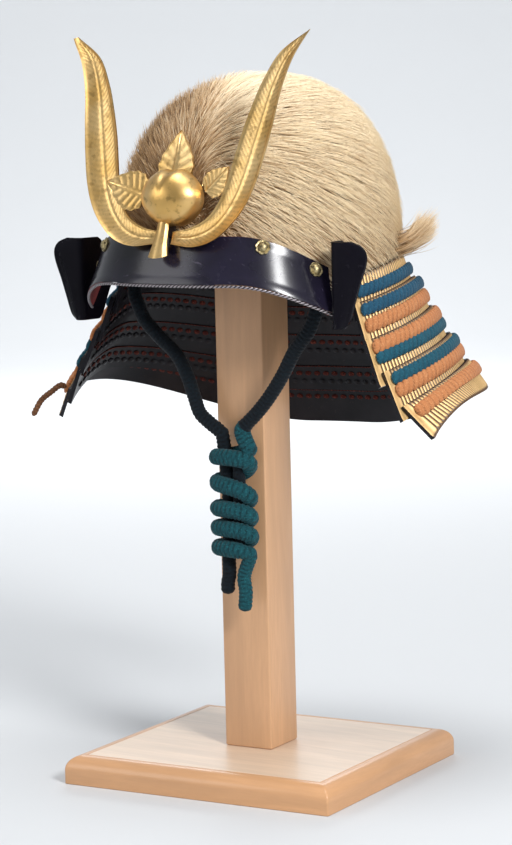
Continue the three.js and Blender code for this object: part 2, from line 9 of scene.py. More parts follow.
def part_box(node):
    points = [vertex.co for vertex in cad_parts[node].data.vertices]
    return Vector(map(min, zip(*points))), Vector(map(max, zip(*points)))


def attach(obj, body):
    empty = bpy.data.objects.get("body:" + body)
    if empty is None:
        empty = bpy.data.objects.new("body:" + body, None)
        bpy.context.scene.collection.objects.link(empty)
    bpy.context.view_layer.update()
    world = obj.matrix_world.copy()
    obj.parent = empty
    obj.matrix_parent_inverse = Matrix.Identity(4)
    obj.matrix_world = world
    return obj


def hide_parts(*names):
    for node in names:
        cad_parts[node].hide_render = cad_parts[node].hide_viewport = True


bl_info = {
    "name": "Kabuto helmet on a post stand",
    "version": (1, 0, 0),
    "blender": (4, 5, 0),
    "location": "View3D > Sidebar > Kabuto",
    "description": "Builds a haired kabuto with a gilt crest and laced neck guard on a wooden post stand",
    "category": "Add Mesh",
}

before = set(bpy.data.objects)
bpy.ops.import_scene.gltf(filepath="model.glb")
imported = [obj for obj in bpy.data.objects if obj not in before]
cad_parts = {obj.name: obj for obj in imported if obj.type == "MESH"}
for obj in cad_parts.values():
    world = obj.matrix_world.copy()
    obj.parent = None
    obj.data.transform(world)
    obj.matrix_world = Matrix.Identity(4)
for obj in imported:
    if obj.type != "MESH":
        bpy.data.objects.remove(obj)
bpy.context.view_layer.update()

MM = 0.001
PI = math.pi
BODY = "root"


# ---------------------------------------------------------------- sizes and colours a user would change
def length(name, text, default):
    return bpy.props.FloatProperty(name=name, description=text, default=default, unit="LENGTH", precision=4)


def amount(name, text, default):
    return bpy.props.FloatProperty(name=name, description=text, default=default)


def count(name, text, default):
    return bpy.props.IntProperty(name=name, description=text, default=default, min=1)


def angle(name, text, default):
    turn = math.radians(default)
    return bpy.props.FloatProperty(name=name, description=text, default=turn, subtype="ANGLE")


def colour(name, text, default):
    return bpy.props.FloatVectorProperty(
        name=name, description=text, default=default, subtype="COLOR", size=3, min=0, max=1
    )


class KabutoStage(bpy.types.PropertyGroup):
    azimuth: angle("Camera azimuth", "Camera's turn to the helmet's left", 34.5)
    pitch: angle("Camera pitch", "How far the camera looks down", 7.026)
    roll: angle("Camera roll", "Lean of the camera", -1.389)
    distance: length("Camera distance", "Level distance from the post to the camera", 2.5078)
    height: length("Camera height", "Height of the camera above the floor", 0.6274)
    sideways: length("Camera offset", "How far the camera stands to its right", 0.0017)
    lens: amount("Lens", "Focal length in millimetres on a 36 mm long side", 119.77)
    floor: colour("Floor", "Pale floor and backdrop", (0.63, 0.645, 0.66))


class KabutoSizes(bpy.types.PropertyGroup):
    strands: count("Hair strands", "Strands on the crown", 22500)
    strand_width: length("Strand width", "Width of a strand at its root", 0.0007)
    rib_pitch: length("Rib pitch", "Width of one scale of the neck guard", 0.0040)
    braid_pitch: length("Braid pitch", "Length of one twist of the lacing", 0.0066)
    cord_diameter: length("Chin cord", "Diameter of the chin cord", 0.013)
    rope_radius: length("Rope edging", "Radius of the brow's rope edging", 0.0013)


class KabutoColours(bpy.types.PropertyGroup):
    maple: colour("Maple", "Wood of the post and panel", (0.60, 0.345, 0.185))
    edge: colour("Edge wood", "Warmer wood of the base's border", (0.63, 0.34, 0.165))
    hair_root: colour("Hair roots", "Hair near the bowl", (0.15, 0.075, 0.028))
    hair_mid: colour("Hair", "Most of the hair", (0.55, 0.345, 0.165))
    hair_tip: colour("Hair tips", "Sun-bleached tips", (0.97, 0.83, 0.59))
    lacquer: colour("Black lacquer", "Brow, turn-backs and inside of the neck guard", (0.0045, 0.004, 0.0065))
    # A painted sheen: a violet reflection mixed into the black lacquer's base colour.
    painted_sheen: colour("Violet sheen", "Tint of the worn lacquer", (0.022, 0.017, 0.045))
    red: colour("Red lacquer", "Underside of the brow", (0.22, 0.018, 0.018))
    gilt: colour("Gilding", "Crest", (0.66, 0.41, 0.135))
    gold: colour("Gold lacquer", "Outside of the neck guard", (0.70, 0.45, 0.185))
    blue: colour("Blue braid", "Upper blue lacing", (0.010, 0.058, 0.105))
    teal: colour("Teal braid", "Lower blue lacing", (0.008, 0.062, 0.095))
    orange: colour("Orange braid", "Orange lacing", (0.43, 0.165, 0.062))
    cord_dark: colour("Dark cord", "Chin cord's straps", (0.004, 0.007, 0.011))
    cord_teal: colour("Teal cord", "Chin cord's knot", (0.007, 0.060, 0.075))


# ---------------------------------------------------------------- shader maths
class Socket:
    """A shader value: arithmetic on it, from either side, adds Math nodes."""

    def __init__(self, finish, socket):
        self.finish = finish
        self.socket = socket

    def math(self, operation, *others, clamp=False):
        settings = {"operation": operation, "use_clamp": clamp}
        return self.finish.add("ShaderNodeMath", settings, dict(enumerate((self, *others))))

    def __add__(self, other):
        return self.math("ADD", other)

    def __sub__(self, other):
        return self.math("SUBTRACT", other)

    def __mul__(self, other):
        return self.math("MULTIPLY", other)

    def __rsub__(self, other):
        return self.finish.number(other).math("SUBTRACT", self)

    __radd__ = __add__
    __rmul__ = __mul__


class Finish:
    """One procedural material, built up from nodes."""

    def __init__(self, name, **fixed):
        self.material = bpy.data.materials.new(name)
        self.material.use_nodes = True
        self.tree = self.material.node_tree
        self.shader = self.tree.nodes["Principled BSDF"]
        for key, value in fixed.items():
            self.shader.inputs[key.replace("_", " ")].default_value = value

    def add(self, kind, settings=None, inputs=None, output=0):
        node = self.tree.nodes.new(kind)
        for key, value in (settings or {}).items():
            if key == "stops":
                self.ramp(node.color_ramp, value)
            else:
                setattr(node, key, value)
        for key, value in (inputs or {}).items():
            self.feed(node.inputs[key], value)
        return Socket(self, node.outputs[output])

    def ramp(self, ramp, stops):
        while len(ramp.elements) < len(stops):
            ramp.elements.new(0.5)
        for element, (place, shade) in zip(ramp.elements, stops):
            element.position = place
            element.color = (*shade, 1) if hasattr(shade, "__len__") else (shade, shade, shade, 1)

    def feed(self, target, value):
        if isinstance(value, Socket):
            self.tree.links.new(value.socket, target)
        elif hasattr(value, "__len__") and target.type == "RGBA":
            target.default_value = (*value, 1)
        else:
            target.default_value = value

    def number(self, value):
        return self.add("ShaderNodeMath", {"operation": "ADD"}, {0: value, 1: 0.0})

    def place(self):
        return self.add("ShaderNodeTexCoord", output="Object")

    def stretched(self, scale, turn=0.0):
        inputs = {"Vector": self.place(), "Scale": scale, "Rotation": (0, 0, turn)}
        return self.add("ShaderNodeMapping", inputs=inputs)

    def noise(self, scale, detail=4.0, vector=None, distortion=0.0):
        inputs = {"Scale": scale, "Detail": detail, "Distortion": distortion}
        inputs["Vector"] = vector if vector is not None else self.place()
        return self.add("ShaderNodeTexNoise", inputs=inputs)

    def band(self, value, low, high):
        settings = {"stops": [(low, 0.0), (high, 1.0)]}
        return self.add("ShaderNodeValToRGB", settings, {"Fac": value})

    def tone(self):
        """The tone that each mesh carries at its points: the hair's colour along its strands, and painted
        shade in grooves and chased cuts.
        """
        return self.add("ShaderNodeAttribute", {"attribute_name": "tone"}, output="Fac")

    def mix(self, factor, low, high):
        return self.add("ShaderNodeMix", {"data_type": "RGBA"}, {0: factor, 6: low, 7: high}, output=2)

    def bump(self, height, distance, strength):
        inputs = {"Height": height, "Distance": distance, "Strength": strength}
        return self.add("ShaderNodeBump", inputs=inputs)

    def surface(self, base, roughness=None, normal=None, metallic=None):
        wanted = {"Base Color": base, "Roughness": roughness, "Normal": normal, "Metallic": metallic}
        for key, value in wanted.items():
            if value is not None:
                self.feed(self.shader.inputs[key], value)
        return self.material


def maple_wood(name, tint, grain_scale):
    finish = Finish(name, Coat_Weight=0.35, Coat_Roughness=0.18, Specular_IOR_Level=0.4)
    grain = finish.noise(1.0, 6, finish.stretched(grain_scale), 0.6)
    fibre = finish.noise(1.0, 3, finish.stretched(tuple(8 * v for v in grain_scale)))
    pale = tuple(min(1.0, 1.08 * v) for v in tint)
    deep = tuple(0.88 * v for v in tint)
    shade = finish.mix(finish.band(grain, 0.30, 0.70), deep, pale)
    shade = finish.mix(finish.band(fibre, 0.40, 0.75) * 0.5, shade, deep)
    rough = 0.30 + fibre * 0.18
    return finish.surface(shade, rough, finish.bump(fibre, 0.0004, 0.35))


def hair_finish(tint):
    finish = Finish("combed_hair", Roughness=0.48, Specular_IOR_Level=0.35, Sheen_Weight=0.08)
    tone = finish.tone()
    patch = finish.noise(26.0, 3)
    level = tone + (patch - 0.5) * 0.35
    shade = finish.add("ShaderNodeValToRGB", {"stops": [
        (0.05, tint.hair_root), (0.45, tint.hair_mid), (0.95, tint.hair_tip)]}, {"Fac": level})
    return finish.surface(shade, 0.42 + patch * 0.2)


def black_lacquer(name, tint, gloss):
    finish = Finish(name, Coat_Weight=gloss, Coat_Roughness=0.17, Specular_IOR_Level=0.05 + 0.25 * gloss)
    cloud = finish.noise(14.0, 5, None, 0.4)
    scratch = finish.noise(1.0, 2, finish.stretched((40, 900, 160), turn=0.5))
    lines = finish.band(scratch, 0.68, 0.74)
    # Painted sheen: the violet colour goes into the base colour in clouds, more strongly on glossier lacquer.
    shade = finish.mix(finish.band(cloud, 0.35, 0.85) * min(1.0, 1.4 * gloss), tint.lacquer, tint.painted_sheen)
    shade = finish.mix(lines * (0.5 * gloss), shade, (0.16, 0.14, 0.20))
    rough = 0.18 + cloud * 0.14 + lines * 0.25
    wave = finish.noise(30.0, 2)
    return finish.surface(shade, rough, finish.bump(wave, 0.0006, 0.25))


def inner_lacquer(tint):
    finish = Finish("inner_lacquer", Coat_Weight=0.12, Coat_Roughness=0.1, Specular_IOR_Level=0.15)
    cloud = finish.noise(22.0, 5)
    dust = finish.noise(260.0, 3)
    shade = finish.mix(finish.band(cloud, 0.4, 0.9), tint.lacquer, (0.020, 0.017, 0.022))
    shade = finish.mix(finish.band(dust, 0.66, 0.8) * 0.35, shade, (0.07, 0.05, 0.045))
    return finish.surface(shade, 0.24 + cloud * 0.2, finish.bump(dust, 0.0003, 0.3))


def red_lacquer(tint):
    finish = Finish("red_lacquer", Coat_Weight=0.3, Coat_Roughness=0.2)
    cloud = finish.noise(60.0, 4)
    worn = finish.band(cloud, 0.62, 0.72)
    shade = finish.mix(worn * 0.7, tint.red, (0.035, 0.015, 0.012))
    return finish.surface(shade, 0.35 + cloud * 0.2, finish.bump(cloud, 0.0003, 0.4))


def gilt_copper(tint):
    finish = Finish("gilt_copper", Metallic=1.0)
    cloud = finish.noise(30.0, 5)
    grime = finish.noise(170.0, 4)
    cut = 1.0 - finish.tone()
    dark = tuple(0.30 * v for v in tint.gilt)
    pale = (0.84, 0.61, 0.30)
    shade = finish.mix(finish.band(cloud, 0.35, 0.75), tint.gilt, pale)
    shade = finish.mix(finish.band(grime, 0.56, 0.70) * 0.55, shade, dark)
    # Painted shade: where the tone is low, in chased veins and grooves, the gilt turns towards dark, the
    # grime's colour.
    shade = finish.mix(cut * 0.7, shade, dark)
    rough = 0.27 + grime * 0.22 + cut * 0.15
    return finish.surface(shade, rough, finish.bump(grime, 0.0004, 0.35))


def aged_brass():
    finish = Finish("aged_brass", Metallic=1.0)
    grime = finish.noise(420.0, 4)
    shade = finish.mix(finish.band(grime, 0.42, 0.62), (0.50, 0.41, 0.22), (0.14, 0.11, 0.06))
    return finish.surface(shade, 0.34 + grime * 0.25, finish.bump(grime, 0.0003, 0.4))


def gold_lacquer(tint):
    finish = Finish("gold_lacquer", Specular_IOR_Level=0.6)
    ridge = finish.tone()
    cloud = finish.noise(60.0, 4)
    wear = finish.noise(330.0, 4)
    deep = (0.085, 0.040, 0.014)
    pale = tuple(min(1.0, 1.18 * v + 0.05) for v in tint.gold)
    shade = finish.mix(finish.band(cloud, 0.35, 0.75), tint.gold, pale)
    # Painted shade: the grooves between the ribs, where the tone is low, take the deep colour.
    shade = finish.mix(finish.band(ridge, 0.42, 0.80), deep, shade)
    shade = finish.mix(finish.band(wear, 0.62, 0.72) * 0.5, shade, (0.28, 0.14, 0.05))
    metal = 0.45 * finish.band(ridge, 0.3, 0.8)
    return finish.surface(shade, 0.36 + wear * 0.25, finish.bump(wear, 0.0003, 0.4), metallic=metal)


def braid_finish(name, tint, fleck, speck=0.5):
    finish = Finish(name, Roughness=0.85, Sheen_Weight=0.08, Sheen_Roughness=0.5, Specular_IOR_Level=0.15)
    tone = finish.tone()
    fuzz = finish.noise(700.0, 3)
    cloud = finish.noise(120.0, 3)
    dark = tuple(0.28 * v for v in tint)
    # Painted shade: the grooves between the strands, where the tone is low, take the dark colour.
    shade = finish.mix(finish.band(tone, 0.05, 0.75), dark, tint)
    shade = finish.mix(finish.band(fuzz, 0.52, 0.66) * speck, shade, fleck)
    shade = finish.mix(finish.band(cloud, 0.5, 0.8) * 0.2, shade, fleck)
    return finish.surface(shade, 0.7 + fuzz * 0.25, finish.bump(fuzz, 0.0006, 0.8))


def rope_finish():
    finish = Finish("silver_rope", Metallic=0.7)
    tone = finish.tone()
    # Painted shade: the grooves between the rope's strands, where the tone is low, are near black.
    shade = finish.mix(finish.band(tone, 0.3, 0.6), (0.03, 0.025, 0.03), (0.36, 0.33, 0.35))
    return finish.surface(shade, 0.4 + tone * 0.1)


def iron_finish():
    finish = Finish("russet_iron", Metallic=0.5)
    rust = finish.noise(120.0, 5)
    shade = finish.mix(finish.band(rust, 0.4, 0.7), (0.02, 0.016, 0.015), (0.075, 0.035, 0.022))
    return finish.surface(shade, 0.5 + rust * 0.3, finish.bump(rust, 0.0005, 0.4))


def floor_finish(tint):
    finish = Finish("pale_floor", Roughness=0.6, Specular_IOR_Level=0.2)
    cloud = finish.noise(3.0, 2)
    shade = finish.mix(cloud * 0.25, tint, tuple(0.97 * v for v in tint))
    return finish.surface(shade)


FINISHES = {}


def finish_of(name):
    """This file's own finish, made once; other flat materials may hold some of the same names."""
    if name not in FINISHES:
        FINISHES[name] = make_finish(name)
    return FINISHES[name]


def make_finish(name):
    chosen = bpy.context.scene.kabuto_colours
    tints = SimpleNamespace(**{key: tuple(getattr(chosen, key)) for key in KabutoColours.__annotations__})
    makers = {
        "maple_post": lambda: maple_wood(name, tints.maple, (60, 60, 5)),
        "maple_panel": lambda: maple_wood(name, tuple(v**0.47 for v in tints.maple), (6, 90, 60)),
        "maple_edge": lambda: maple_wood(name, tints.edge, (6, 70, 70)),
        "maple_edge_cross": lambda: maple_wood(name, tints.edge, (70, 6, 70)),
        "combed_hair": lambda: hair_finish(tints),
        "black_lacquer": lambda: black_lacquer(name, tints, 0.5),
        "matt_lacquer": lambda: black_lacquer(name, tints, 0.06),
        "inner_lacquer": lambda: inner_lacquer(tints),
        "red_lacquer": lambda: red_lacquer(tints),
        "gilt_copper": lambda: gilt_copper(tints),
        "aged_brass": aged_brass,
        "gold_lacquer": lambda: gold_lacquer(tints),
        "blue_braid": lambda: braid_finish(name, tints.blue, (0.03, 0.12, 0.19)),
        "teal_braid": lambda: braid_finish(name, tints.teal, (0.02, 0.13, 0.18)),
        "orange_braid": lambda: braid_finish(name, tints.orange, (0.62, 0.31, 0.14)),
        "red_braid": lambda: braid_finish(name, (0.17, 0.022, 0.016), (0.28, 0.07, 0.04)),
        "brown_braid": lambda: braid_finish(name, (0.13, 0.055, 0.026), (0.30, 0.14, 0.065)),
        "dark_cord": lambda: braid_finish(name, tints.cord_dark, (0.006, 0.018, 0.024)),
        "teal_cord": lambda: braid_finish(name, tints.cord_teal, (0.015, 0.13, 0.15), 0.6),
        "silver_rope": rope_finish,
        "russet_iron": iron_finish,
        "pale_floor": lambda: floor_finish(tuple(bpy.context.scene.kabuto_stage.floor)),
    }
    return makers[name]()


# ---------------------------------------------------------------- meshes
SHARP = math.radians(38)


def add_mesh(name, points, faces, materials, tone=None, face_material=None):
    """A smooth mesh object from points in millimetres; a name that a CAD object holds gains _detail."""
    mesh = bpy.data.meshes.new(name)
    mesh.from_pydata((np.asarray(points, float) * MM).tolist(), [], faces)
    for material in materials:
        mesh.materials.append(finish_of(material))
    if face_material is not None:
        mesh.polygons.foreach_set("material_index", face_material)
    mesh.polygons.foreach_set("use_smooth", [True] * len(mesh.polygons))
    if tone is not None:
        values = np.asarray(tone, float).ravel()
        mesh.attributes.new("tone", "FLOAT", "POINT").data.foreach_set("value", values)
    mesh.set_sharp_from_angle(angle=SHARP)
    mesh.update()
    taken = name in bpy.data.objects
    piece = bpy.data.objects.new(f"{name}_detail" if taken else name, mesh)
    bpy.context.collection.objects.link(piece)
    return piece


def dress(piece, slot, *nodes):
    """Rides the piece on the stand's body and hides the solids it stands for; slot, its finish's name, is not
    used.
    """
    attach(piece, BODY)
    if nodes:
        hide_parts(*nodes)
    return piece


def unit(vectors):
    return vectors / np.linalg.norm(vectors, axis=-1)[..., None]


def run_along(path):
    """Length along a path at each of its points."""
    return np.concatenate([[0], np.cumsum(np.linalg.norm(np.diff(path, axis=0), axis=1))])


def bearings(count_now):
    """Bearings of that many points round a ring."""
    return np.arange(count_now) * 2 * PI / count_now


def band_faces(rings, sides):
    """Quads between rings of points that follow each other."""
    faces = []
    for i in range(rings - 1):
        for j in range(sides):
            a, b = i * sides + j, i * sides + (j + 1) % sides
            faces.append((a, b, b + sides, a + sides))
    return faces


def tube_sections(path, side, lift, across, upward, around):
    """Loops round a path, with half widths for its side and lift directions."""
    return (path[:, None] + side[:, None] * (across * np.cos(around))[..., None]
            + lift[:, None] * (upward * np.sin(around))[..., None])


def wall_faces(rows, columns, ring=False):
    """Quads of a wall between an outer and an inner grid, with a mark per face: 0 outer, 1 inner, 2 edge."""
    faces, marks = [], []
    spans = columns if ring else columns - 1

    def at(side, i, j):
        return side * rows * columns + i * columns + j % columns

    def quad(mark, *corners):
        faces.append(corners)
        marks.append(mark)

    for j in range(spans):
        for i in range(rows - 1):
            quad(0, at(0, i, j), at(0, i, j + 1), at(0, i + 1, j + 1), at(0, i + 1, j))
            quad(1, at(1, i, j), at(1, i + 1, j), at(1, i + 1, j + 1), at(1, i, j + 1))
        quad(2, at(0, 0, j), at(1, 0, j), at(1, 0, j + 1), at(0, 0, j + 1))
        quad(2, at(0, rows - 1, j), at(0, rows - 1, j + 1), at(1, rows - 1, j + 1), at(1, rows - 1, j))
    if not ring:
        last = columns - 1
        for i in range(rows - 1):
            quad(2, at(0, i, 0), at(0, i + 1, 0), at(1, i + 1, 0), at(1, i, 0))
            quad(2, at(0, i, last), at(1, i, last), at(1, i + 1, last), at(0, i + 1, last))
    return faces, marks


def outward(faces, points):
    """A closed mesh's faces, turned outwards."""
    p = np.asarray(points)
    volume = 0.0
    for f in faces:
        for k in range(1, len(f) - 1):
            volume += float(np.dot(p[f[0]], np.cross(p[f[k]], p[f[k + 1]])))
    if volume < 0:
        faces = [tuple(reversed(f)) for f in faces]
    return faces


def wall_mesh(name, outer, inner, materials, tone=None, ring=False, index=(0, 0, 0)):
    """A closed wall; index gives the material of its outer face, inner face and edges."""
    outer, inner = np.asarray(outer, float), np.asarray(inner, float)
    rows, columns = outer.shape[:2]
    points = np.concatenate([outer.reshape(-1, 3), inner.reshape(-1, 3)])
    faces, marks = wall_faces(rows, columns, ring)
    if tone is not None:
        tone = np.concatenate([np.asarray(tone).ravel(), np.full(rows * columns, 0.8)])
    return add_mesh(name, points, outward(faces, points), materials, tone, [index[m] for m in marks])


def sweep_mesh(name, sections, materials, tone=None):
    """A closed solid through loops of points, with fans over its two ends."""
    sections = np.asarray(sections, float)
    steps, sides = sections.shape[:2]
    points = sections.reshape(-1, 3)
    faces = band_faces(steps, sides)
    faces.append(tuple(range(sides - 1, -1, -1)))
    faces.append(tuple(range((steps - 1) * sides, steps * sides)))
    return add_mesh(name, points, outward(faces, points), materials, tone)


def smooth_path(points, steps):
    """Points at even spacing along a Catmull-Rom curve through the given ones."""
    p = np.asarray(points, float)
    p = np.vstack([2 * p[0] - p[1], p, 2 * p[-1] - p[-2]])
    dense = []
    for i in range(1, len(p) - 2):
        for t in np.linspace(0, 1, 24, endpoint=i == len(p) - 3):
            a, b, c, d = p[i - 1:i + 3]
            dense.append(0.5 * (2 * b + (c - a) * t + (2 * a - 5 * b + 4 * c - d) * t**2
                                + (3 * b - a - 3 * c + d) * t**3))
    dense = np.asarray(dense)
    run = run_along(dense)
    wanted = np.linspace(0, run[-1], steps + 1)
    found = [np.interp(wanted, run, dense[:, k]) for k in range(dense.shape[1])]
    return np.stack(found, axis=1), run[-1]


def path_frames(path):
    """Side and lift vectors along a path, with no twist."""
    tangent = unit(np.gradient(path, axis=0))
    side = np.cross(tangent[0], (0, 0, 1.0) if abs(tangent[0][2]) < 0.9 else (0, 1.0, 0))
    sides = []
    for t in tangent:
        side = side - t * np.dot(side, t)
        side /= np.linalg.norm(side)
        sides.append(side.copy())
    sides = np.asarray(sides)
    return sides, np.cross(sides, tangent)


TUBE_SIDES = 16


def woven_tube(name, points, diameter, material, steps, pitch, relief, ends=0.6, knotted=None):
    """A braided cord; knotted is the stretch where it swells, and from there it has its second finish."""
    path, run = smooth_path(points, steps)
    side, lift = path_frames(path)
    around = bearings(TUBE_SIDES)
    along = np.linspace(0, run, steps + 1)[:, None]
    twist = PI * along / pitch
    weave = np.abs(np.sin(twist + around)) * np.abs(np.sin(twist - around))
    close = np.minimum(along, run - along) / (diameter * ends)
    round_end = np.sqrt(np.clip(1 - (1 - np.clip(close, 0, 1))**2, 0.02, 1))
    radius = (diameter / 2 - relief + relief * weave**0.5) * round_end
    finishes = [material] if isinstance(material, str) else list(material)
    if knotted:
        low, high = knotted
        radius = radius * (1 + 0.2 * smooth(low - 12, low, along) * (1 - smooth(high, high + 12, along)))
    # The weave is also the tone, which paints shade into the grooves between the strands.
    tube = sweep_mesh(name, tube_sections(path, side, lift, radius, radius, around), finishes, weave**0.5)
    if len(finishes) > 1:
        later = np.repeat((along[:-1, 0] > knotted[0] - 6).astype(int), TUBE_SIDES)
        tube.data.polygons.foreach_set("material_index", [*later.tolist(), 0, 1])
    return tube, path, run


# ---------------------------------------------------------------- the helmet's forms, in millimetres
DOME = {"z": 469, "height": 160, "half": 126, "length": 130, "centre_y": 12, "power": 2.3}
BROW_POWER = 2.3
BROW_TOP = {"tip": 117, "front": -121, "tip_y": -54, "z": 493, "drop": 29, "start": 55, "curve": 2.5}
BROW_BOTTOM = {"tip": 129, "front": -134, "tip_y": -65, "z": 453, "drop": 27, "start": 60, "curve": 2.3}
EDGE_KEYS = ("side", "nape", "corner", "half", "reach", "end", "fall")
LAME_TABLE = [
    ((466.5, 448, 453, 127, 146, 17, 1.4), (432, 412, 416, 137, 158, 17, 1.4)),
    ((447, 427, 431, 136.5, 160, 18, 1.4), (411, 390, 390, 152.7, 171, 18, 1.4)),
    ((420, 403, 400, 152.6, 171, 19, 1.4), (383, 358, 361, 170.3, 184.5, 19, 1.4)),
    ((396, 371, 374, 169.6, 184.6, 17.5, 1.5), (359, 327, 332, 187, 198, 16, 1.6)),
    ((372, 340, 345, 186, 198.5, 15.5, 1.7), (347, 295, 317, 205, 212, 10.5, 4)),
]
LAMES = [tuple(dict(zip(EDGE_KEYS, edge)) for edge in lame) for lame in LAME_TABLE]
NECK = {"centre_y": 12, "lowest": 101, "right_onset": 25, "left_onset": 5}
LACES = [
    ("lace_blue_1", 0, 0.40, "blue_braid"), ("lace_blue_2", 1, 0.19, "blue_braid"),
    ("lace_orange_1", 1, 0.52, "orange_braid"), ("lace_orange_2", 2, 0.20, "orange_braid"),
    ("lace_teal_1", 2, 0.44, "teal_braid"), ("lace_teal_2", 3, 0.20, "teal_braid"),
    ("lace_orange_3", 3, 0.44, "orange_braid"), ("lace_orange_4", 4, 0.31, "orange_braid"),
]


def smooth(low, high, value):
    t = np.clip((np.asarray(value, float) - low) / (high - low), 0, 1)
    return t * t * (3 - 2 * t)


def dome_point(azimuth, climb, inset):
    level = np.clip(climb, 0, 1) * PI / 2
    across = np.maximum(np.cos(level), 0) ** (2 / DOME["power"])
    up = np.sin(level) ** (2 / DOME["power"])
    return np.stack(np.broadcast_arrays(
        (DOME["half"] - inset) * across * np.cos(azimuth),
        DOME["centre_y"] + (DOME["length"] - inset) * across * np.sin(azimuth),
        DOME["z"] + (DOME["height"] - inset) * up,
    ), axis=-1)


def edge_height(edge, azimuth):
    azimuth = np.asarray(azimuth, float)
    drop = 1 - smooth(math.radians(8), math.radians(75), np.abs(azimuth - math.radians(NECK["lowest"])))
    right = azimuth < PI / 2
    onset = np.where(right, math.radians(NECK["right_onset"]), math.radians(NECK["left_onset"]))
    behind = np.where(right, azimuth, PI - azimuth)
    fall = np.clip((onset - behind) / (onset + np.radians(edge["end"])), 0, 1) ** edge["fall"]
    return edge["side"] + (edge["nape"] - edge["side"]) * drop + (edge["corner"] - edge["side"]) * fall


def rim_height(azimuth):
    azimuth = np.mod(np.asarray(azimuth, float), 2 * PI)
    turned = np.where(azimuth > 1.5 * PI, azimuth - 2 * PI, azimuth)
    front = np.maximum(-np.sin(azimuth), 0)
    return edge_height(LAMES[0][0], turned) + 27 * smooth(0.35, 0.9, front)


def lame_point(lame, t, v, offset=0.0):
    """A point on a lame: t from its right front corner to its left one, v from its top edge to its bottom."""
    t, v = np.asarray(t, float), np.asarray(v, float)
    top, bottom = lame
    edge = {key: top[key] + (bottom[key] - top[key]) * v for key in EDGE_KEYS}
    azimuth = np.radians(-edge["end"] + (180 + 2 * edge["end"]) * t)
    return np.stack(np.broadcast_arrays(
        (edge["half"] + offset * 0.9) * np.cos(azimuth),
        NECK["centre_y"] + (edge["reach"] - NECK["centre_y"] + offset * 0.9) * np.sin(azimuth),
        edge_height(edge, azimuth) + offset * 0.42,
    ), axis=-1)


def brow_edge(edge, q, offset):
    half = edge["tip"] / (1 - abs(edge["tip_y"] / edge["front"]) ** BROW_POWER) ** (1 / BROW_POWER)
    x = edge["tip"] * np.sin(np.asarray(q, float) * PI / 2)
    y = edge["front"] * (1 - np.abs(x / half) ** BROW_POWER) ** (1 / BROW_POWER)
    fall = np.maximum((np.abs(x) - edge["start"]) / (edge["tip"] - edge["start"]), 0) ** edge["curve"]
    out = np.stack([x / half**2, y / edge["front"] ** 2, np.zeros_like(x)], axis=-1)
    return np.stack([x, y, edge["z"] - edge["drop"] * fall], axis=-1) + unit(out) * offset


def brow_point(q, v, offset):
    v = np.asarray(v, float)[..., None]
    return brow_edge(BROW_TOP, q, offset) * (1 - v) + brow_edge(BROW_BOTTOM, q, offset) * v


# ---------------------------------------------------------------- camera, lights and floor
SOFT_ROOM = {"Color": (0.93, 0.96, 1.0, 1), "Strength": 0.48}
HELMET_MIDDLE = (0, 0, 0.42)
# (name, place, what it points at, diameter, power) of the round lamps, in metres and watts
LIGHTS = [
    ("key_light", (2.3, -1.1, 1.75), HELMET_MIDDLE, 0.75, 74),
    ("fill_light", (-1.6, -2.2, 1.3), HELMET_MIDDLE, 1.6, 17),
    ("top_light", (0.1, -0.2, 2.6), HELMET_MIDDLE, 1.3, 26),
    ("backdrop_light", (-0.9, 1.5, 2.9), (-2.9, 4.2, 0.9), 1.8, 46),
    ("pool_light", (-1.6, 2.35, 1.5), (-1.7, 2.5, 0.0), 1.5, 30),
]
FLOOR = {"radius": 5200.0, "bend": 1500.0, "wall": 5200.0, "sides": 96}
FLOOR_RINGS = (40, 200, 500, 1000, 2000, 3700)


class KABUTO_OT_stage(bpy.types.Operator):
    """Sets up the camera, the soft studio light and the pale floor"""

    bl_idname = "kabuto.stage"
    bl_label = "Stage"

    def execute(self, context):
        place_camera(context.scene.kabuto_stage)
        place_lights()
        place_floor()
        return {"FINISHED"}


def place_camera(stage):
    data = bpy.data.cameras.new("camera")
    data.lens = stage.lens
    data.sensor_width = 36
    data.clip_end = 100
    camera = bpy.data.objects.new("camera", data)
    bpy.context.collection.objects.link(camera)
    level = Vector((-math.sin(stage.azimuth), math.cos(stage.azimuth), 0))
    right = Vector((math.cos(stage.azimuth), math.sin(stage.azimuth), 0))
    up = Vector((0, 0, 1))
    ahead = level * math.cos(stage.pitch) - up * math.sin(stage.pitch)
    above = level * math.sin(stage.pitch) + up * math.cos(stage.pitch)
    side = right * math.cos(stage.roll) + above * math.sin(stage.roll)
    top = -right * math.sin(stage.roll) + above * math.cos(stage.roll)
    place = -level * stage.distance + right * stage.sideways + up * stage.height
    turn = Matrix((side, top, -ahead)).transposed().to_4x4()
    camera.matrix_world = Matrix.Translation(place) @ turn
    bpy.context.scene.camera = camera


def place_lights():
    world = bpy.data.worlds.new("soft_room")
    world.use_nodes = True
    background = world.node_tree.nodes["Background"]
    for key, value in SOFT_ROOM.items():
        background.inputs[key].default_value = value
    bpy.context.scene.world = world
    bpy.context.scene.view_settings.view_transform = "Standard"
    for name, place, aim, size, power in LIGHTS:
        data = bpy.data.lights.new(name, "AREA")
        data.shape = "DISK"
        data.size = size
        data.energy = power
        lamp = bpy.data.objects.new(name, data)
        bpy.context.collection.objects.link(lamp)
        lamp.location = place
        lamp.rotation_euler = (Vector(aim) - Vector(place)).to_track_quat("-Z", "Y").to_euler()
        lamp.visible_camera = False


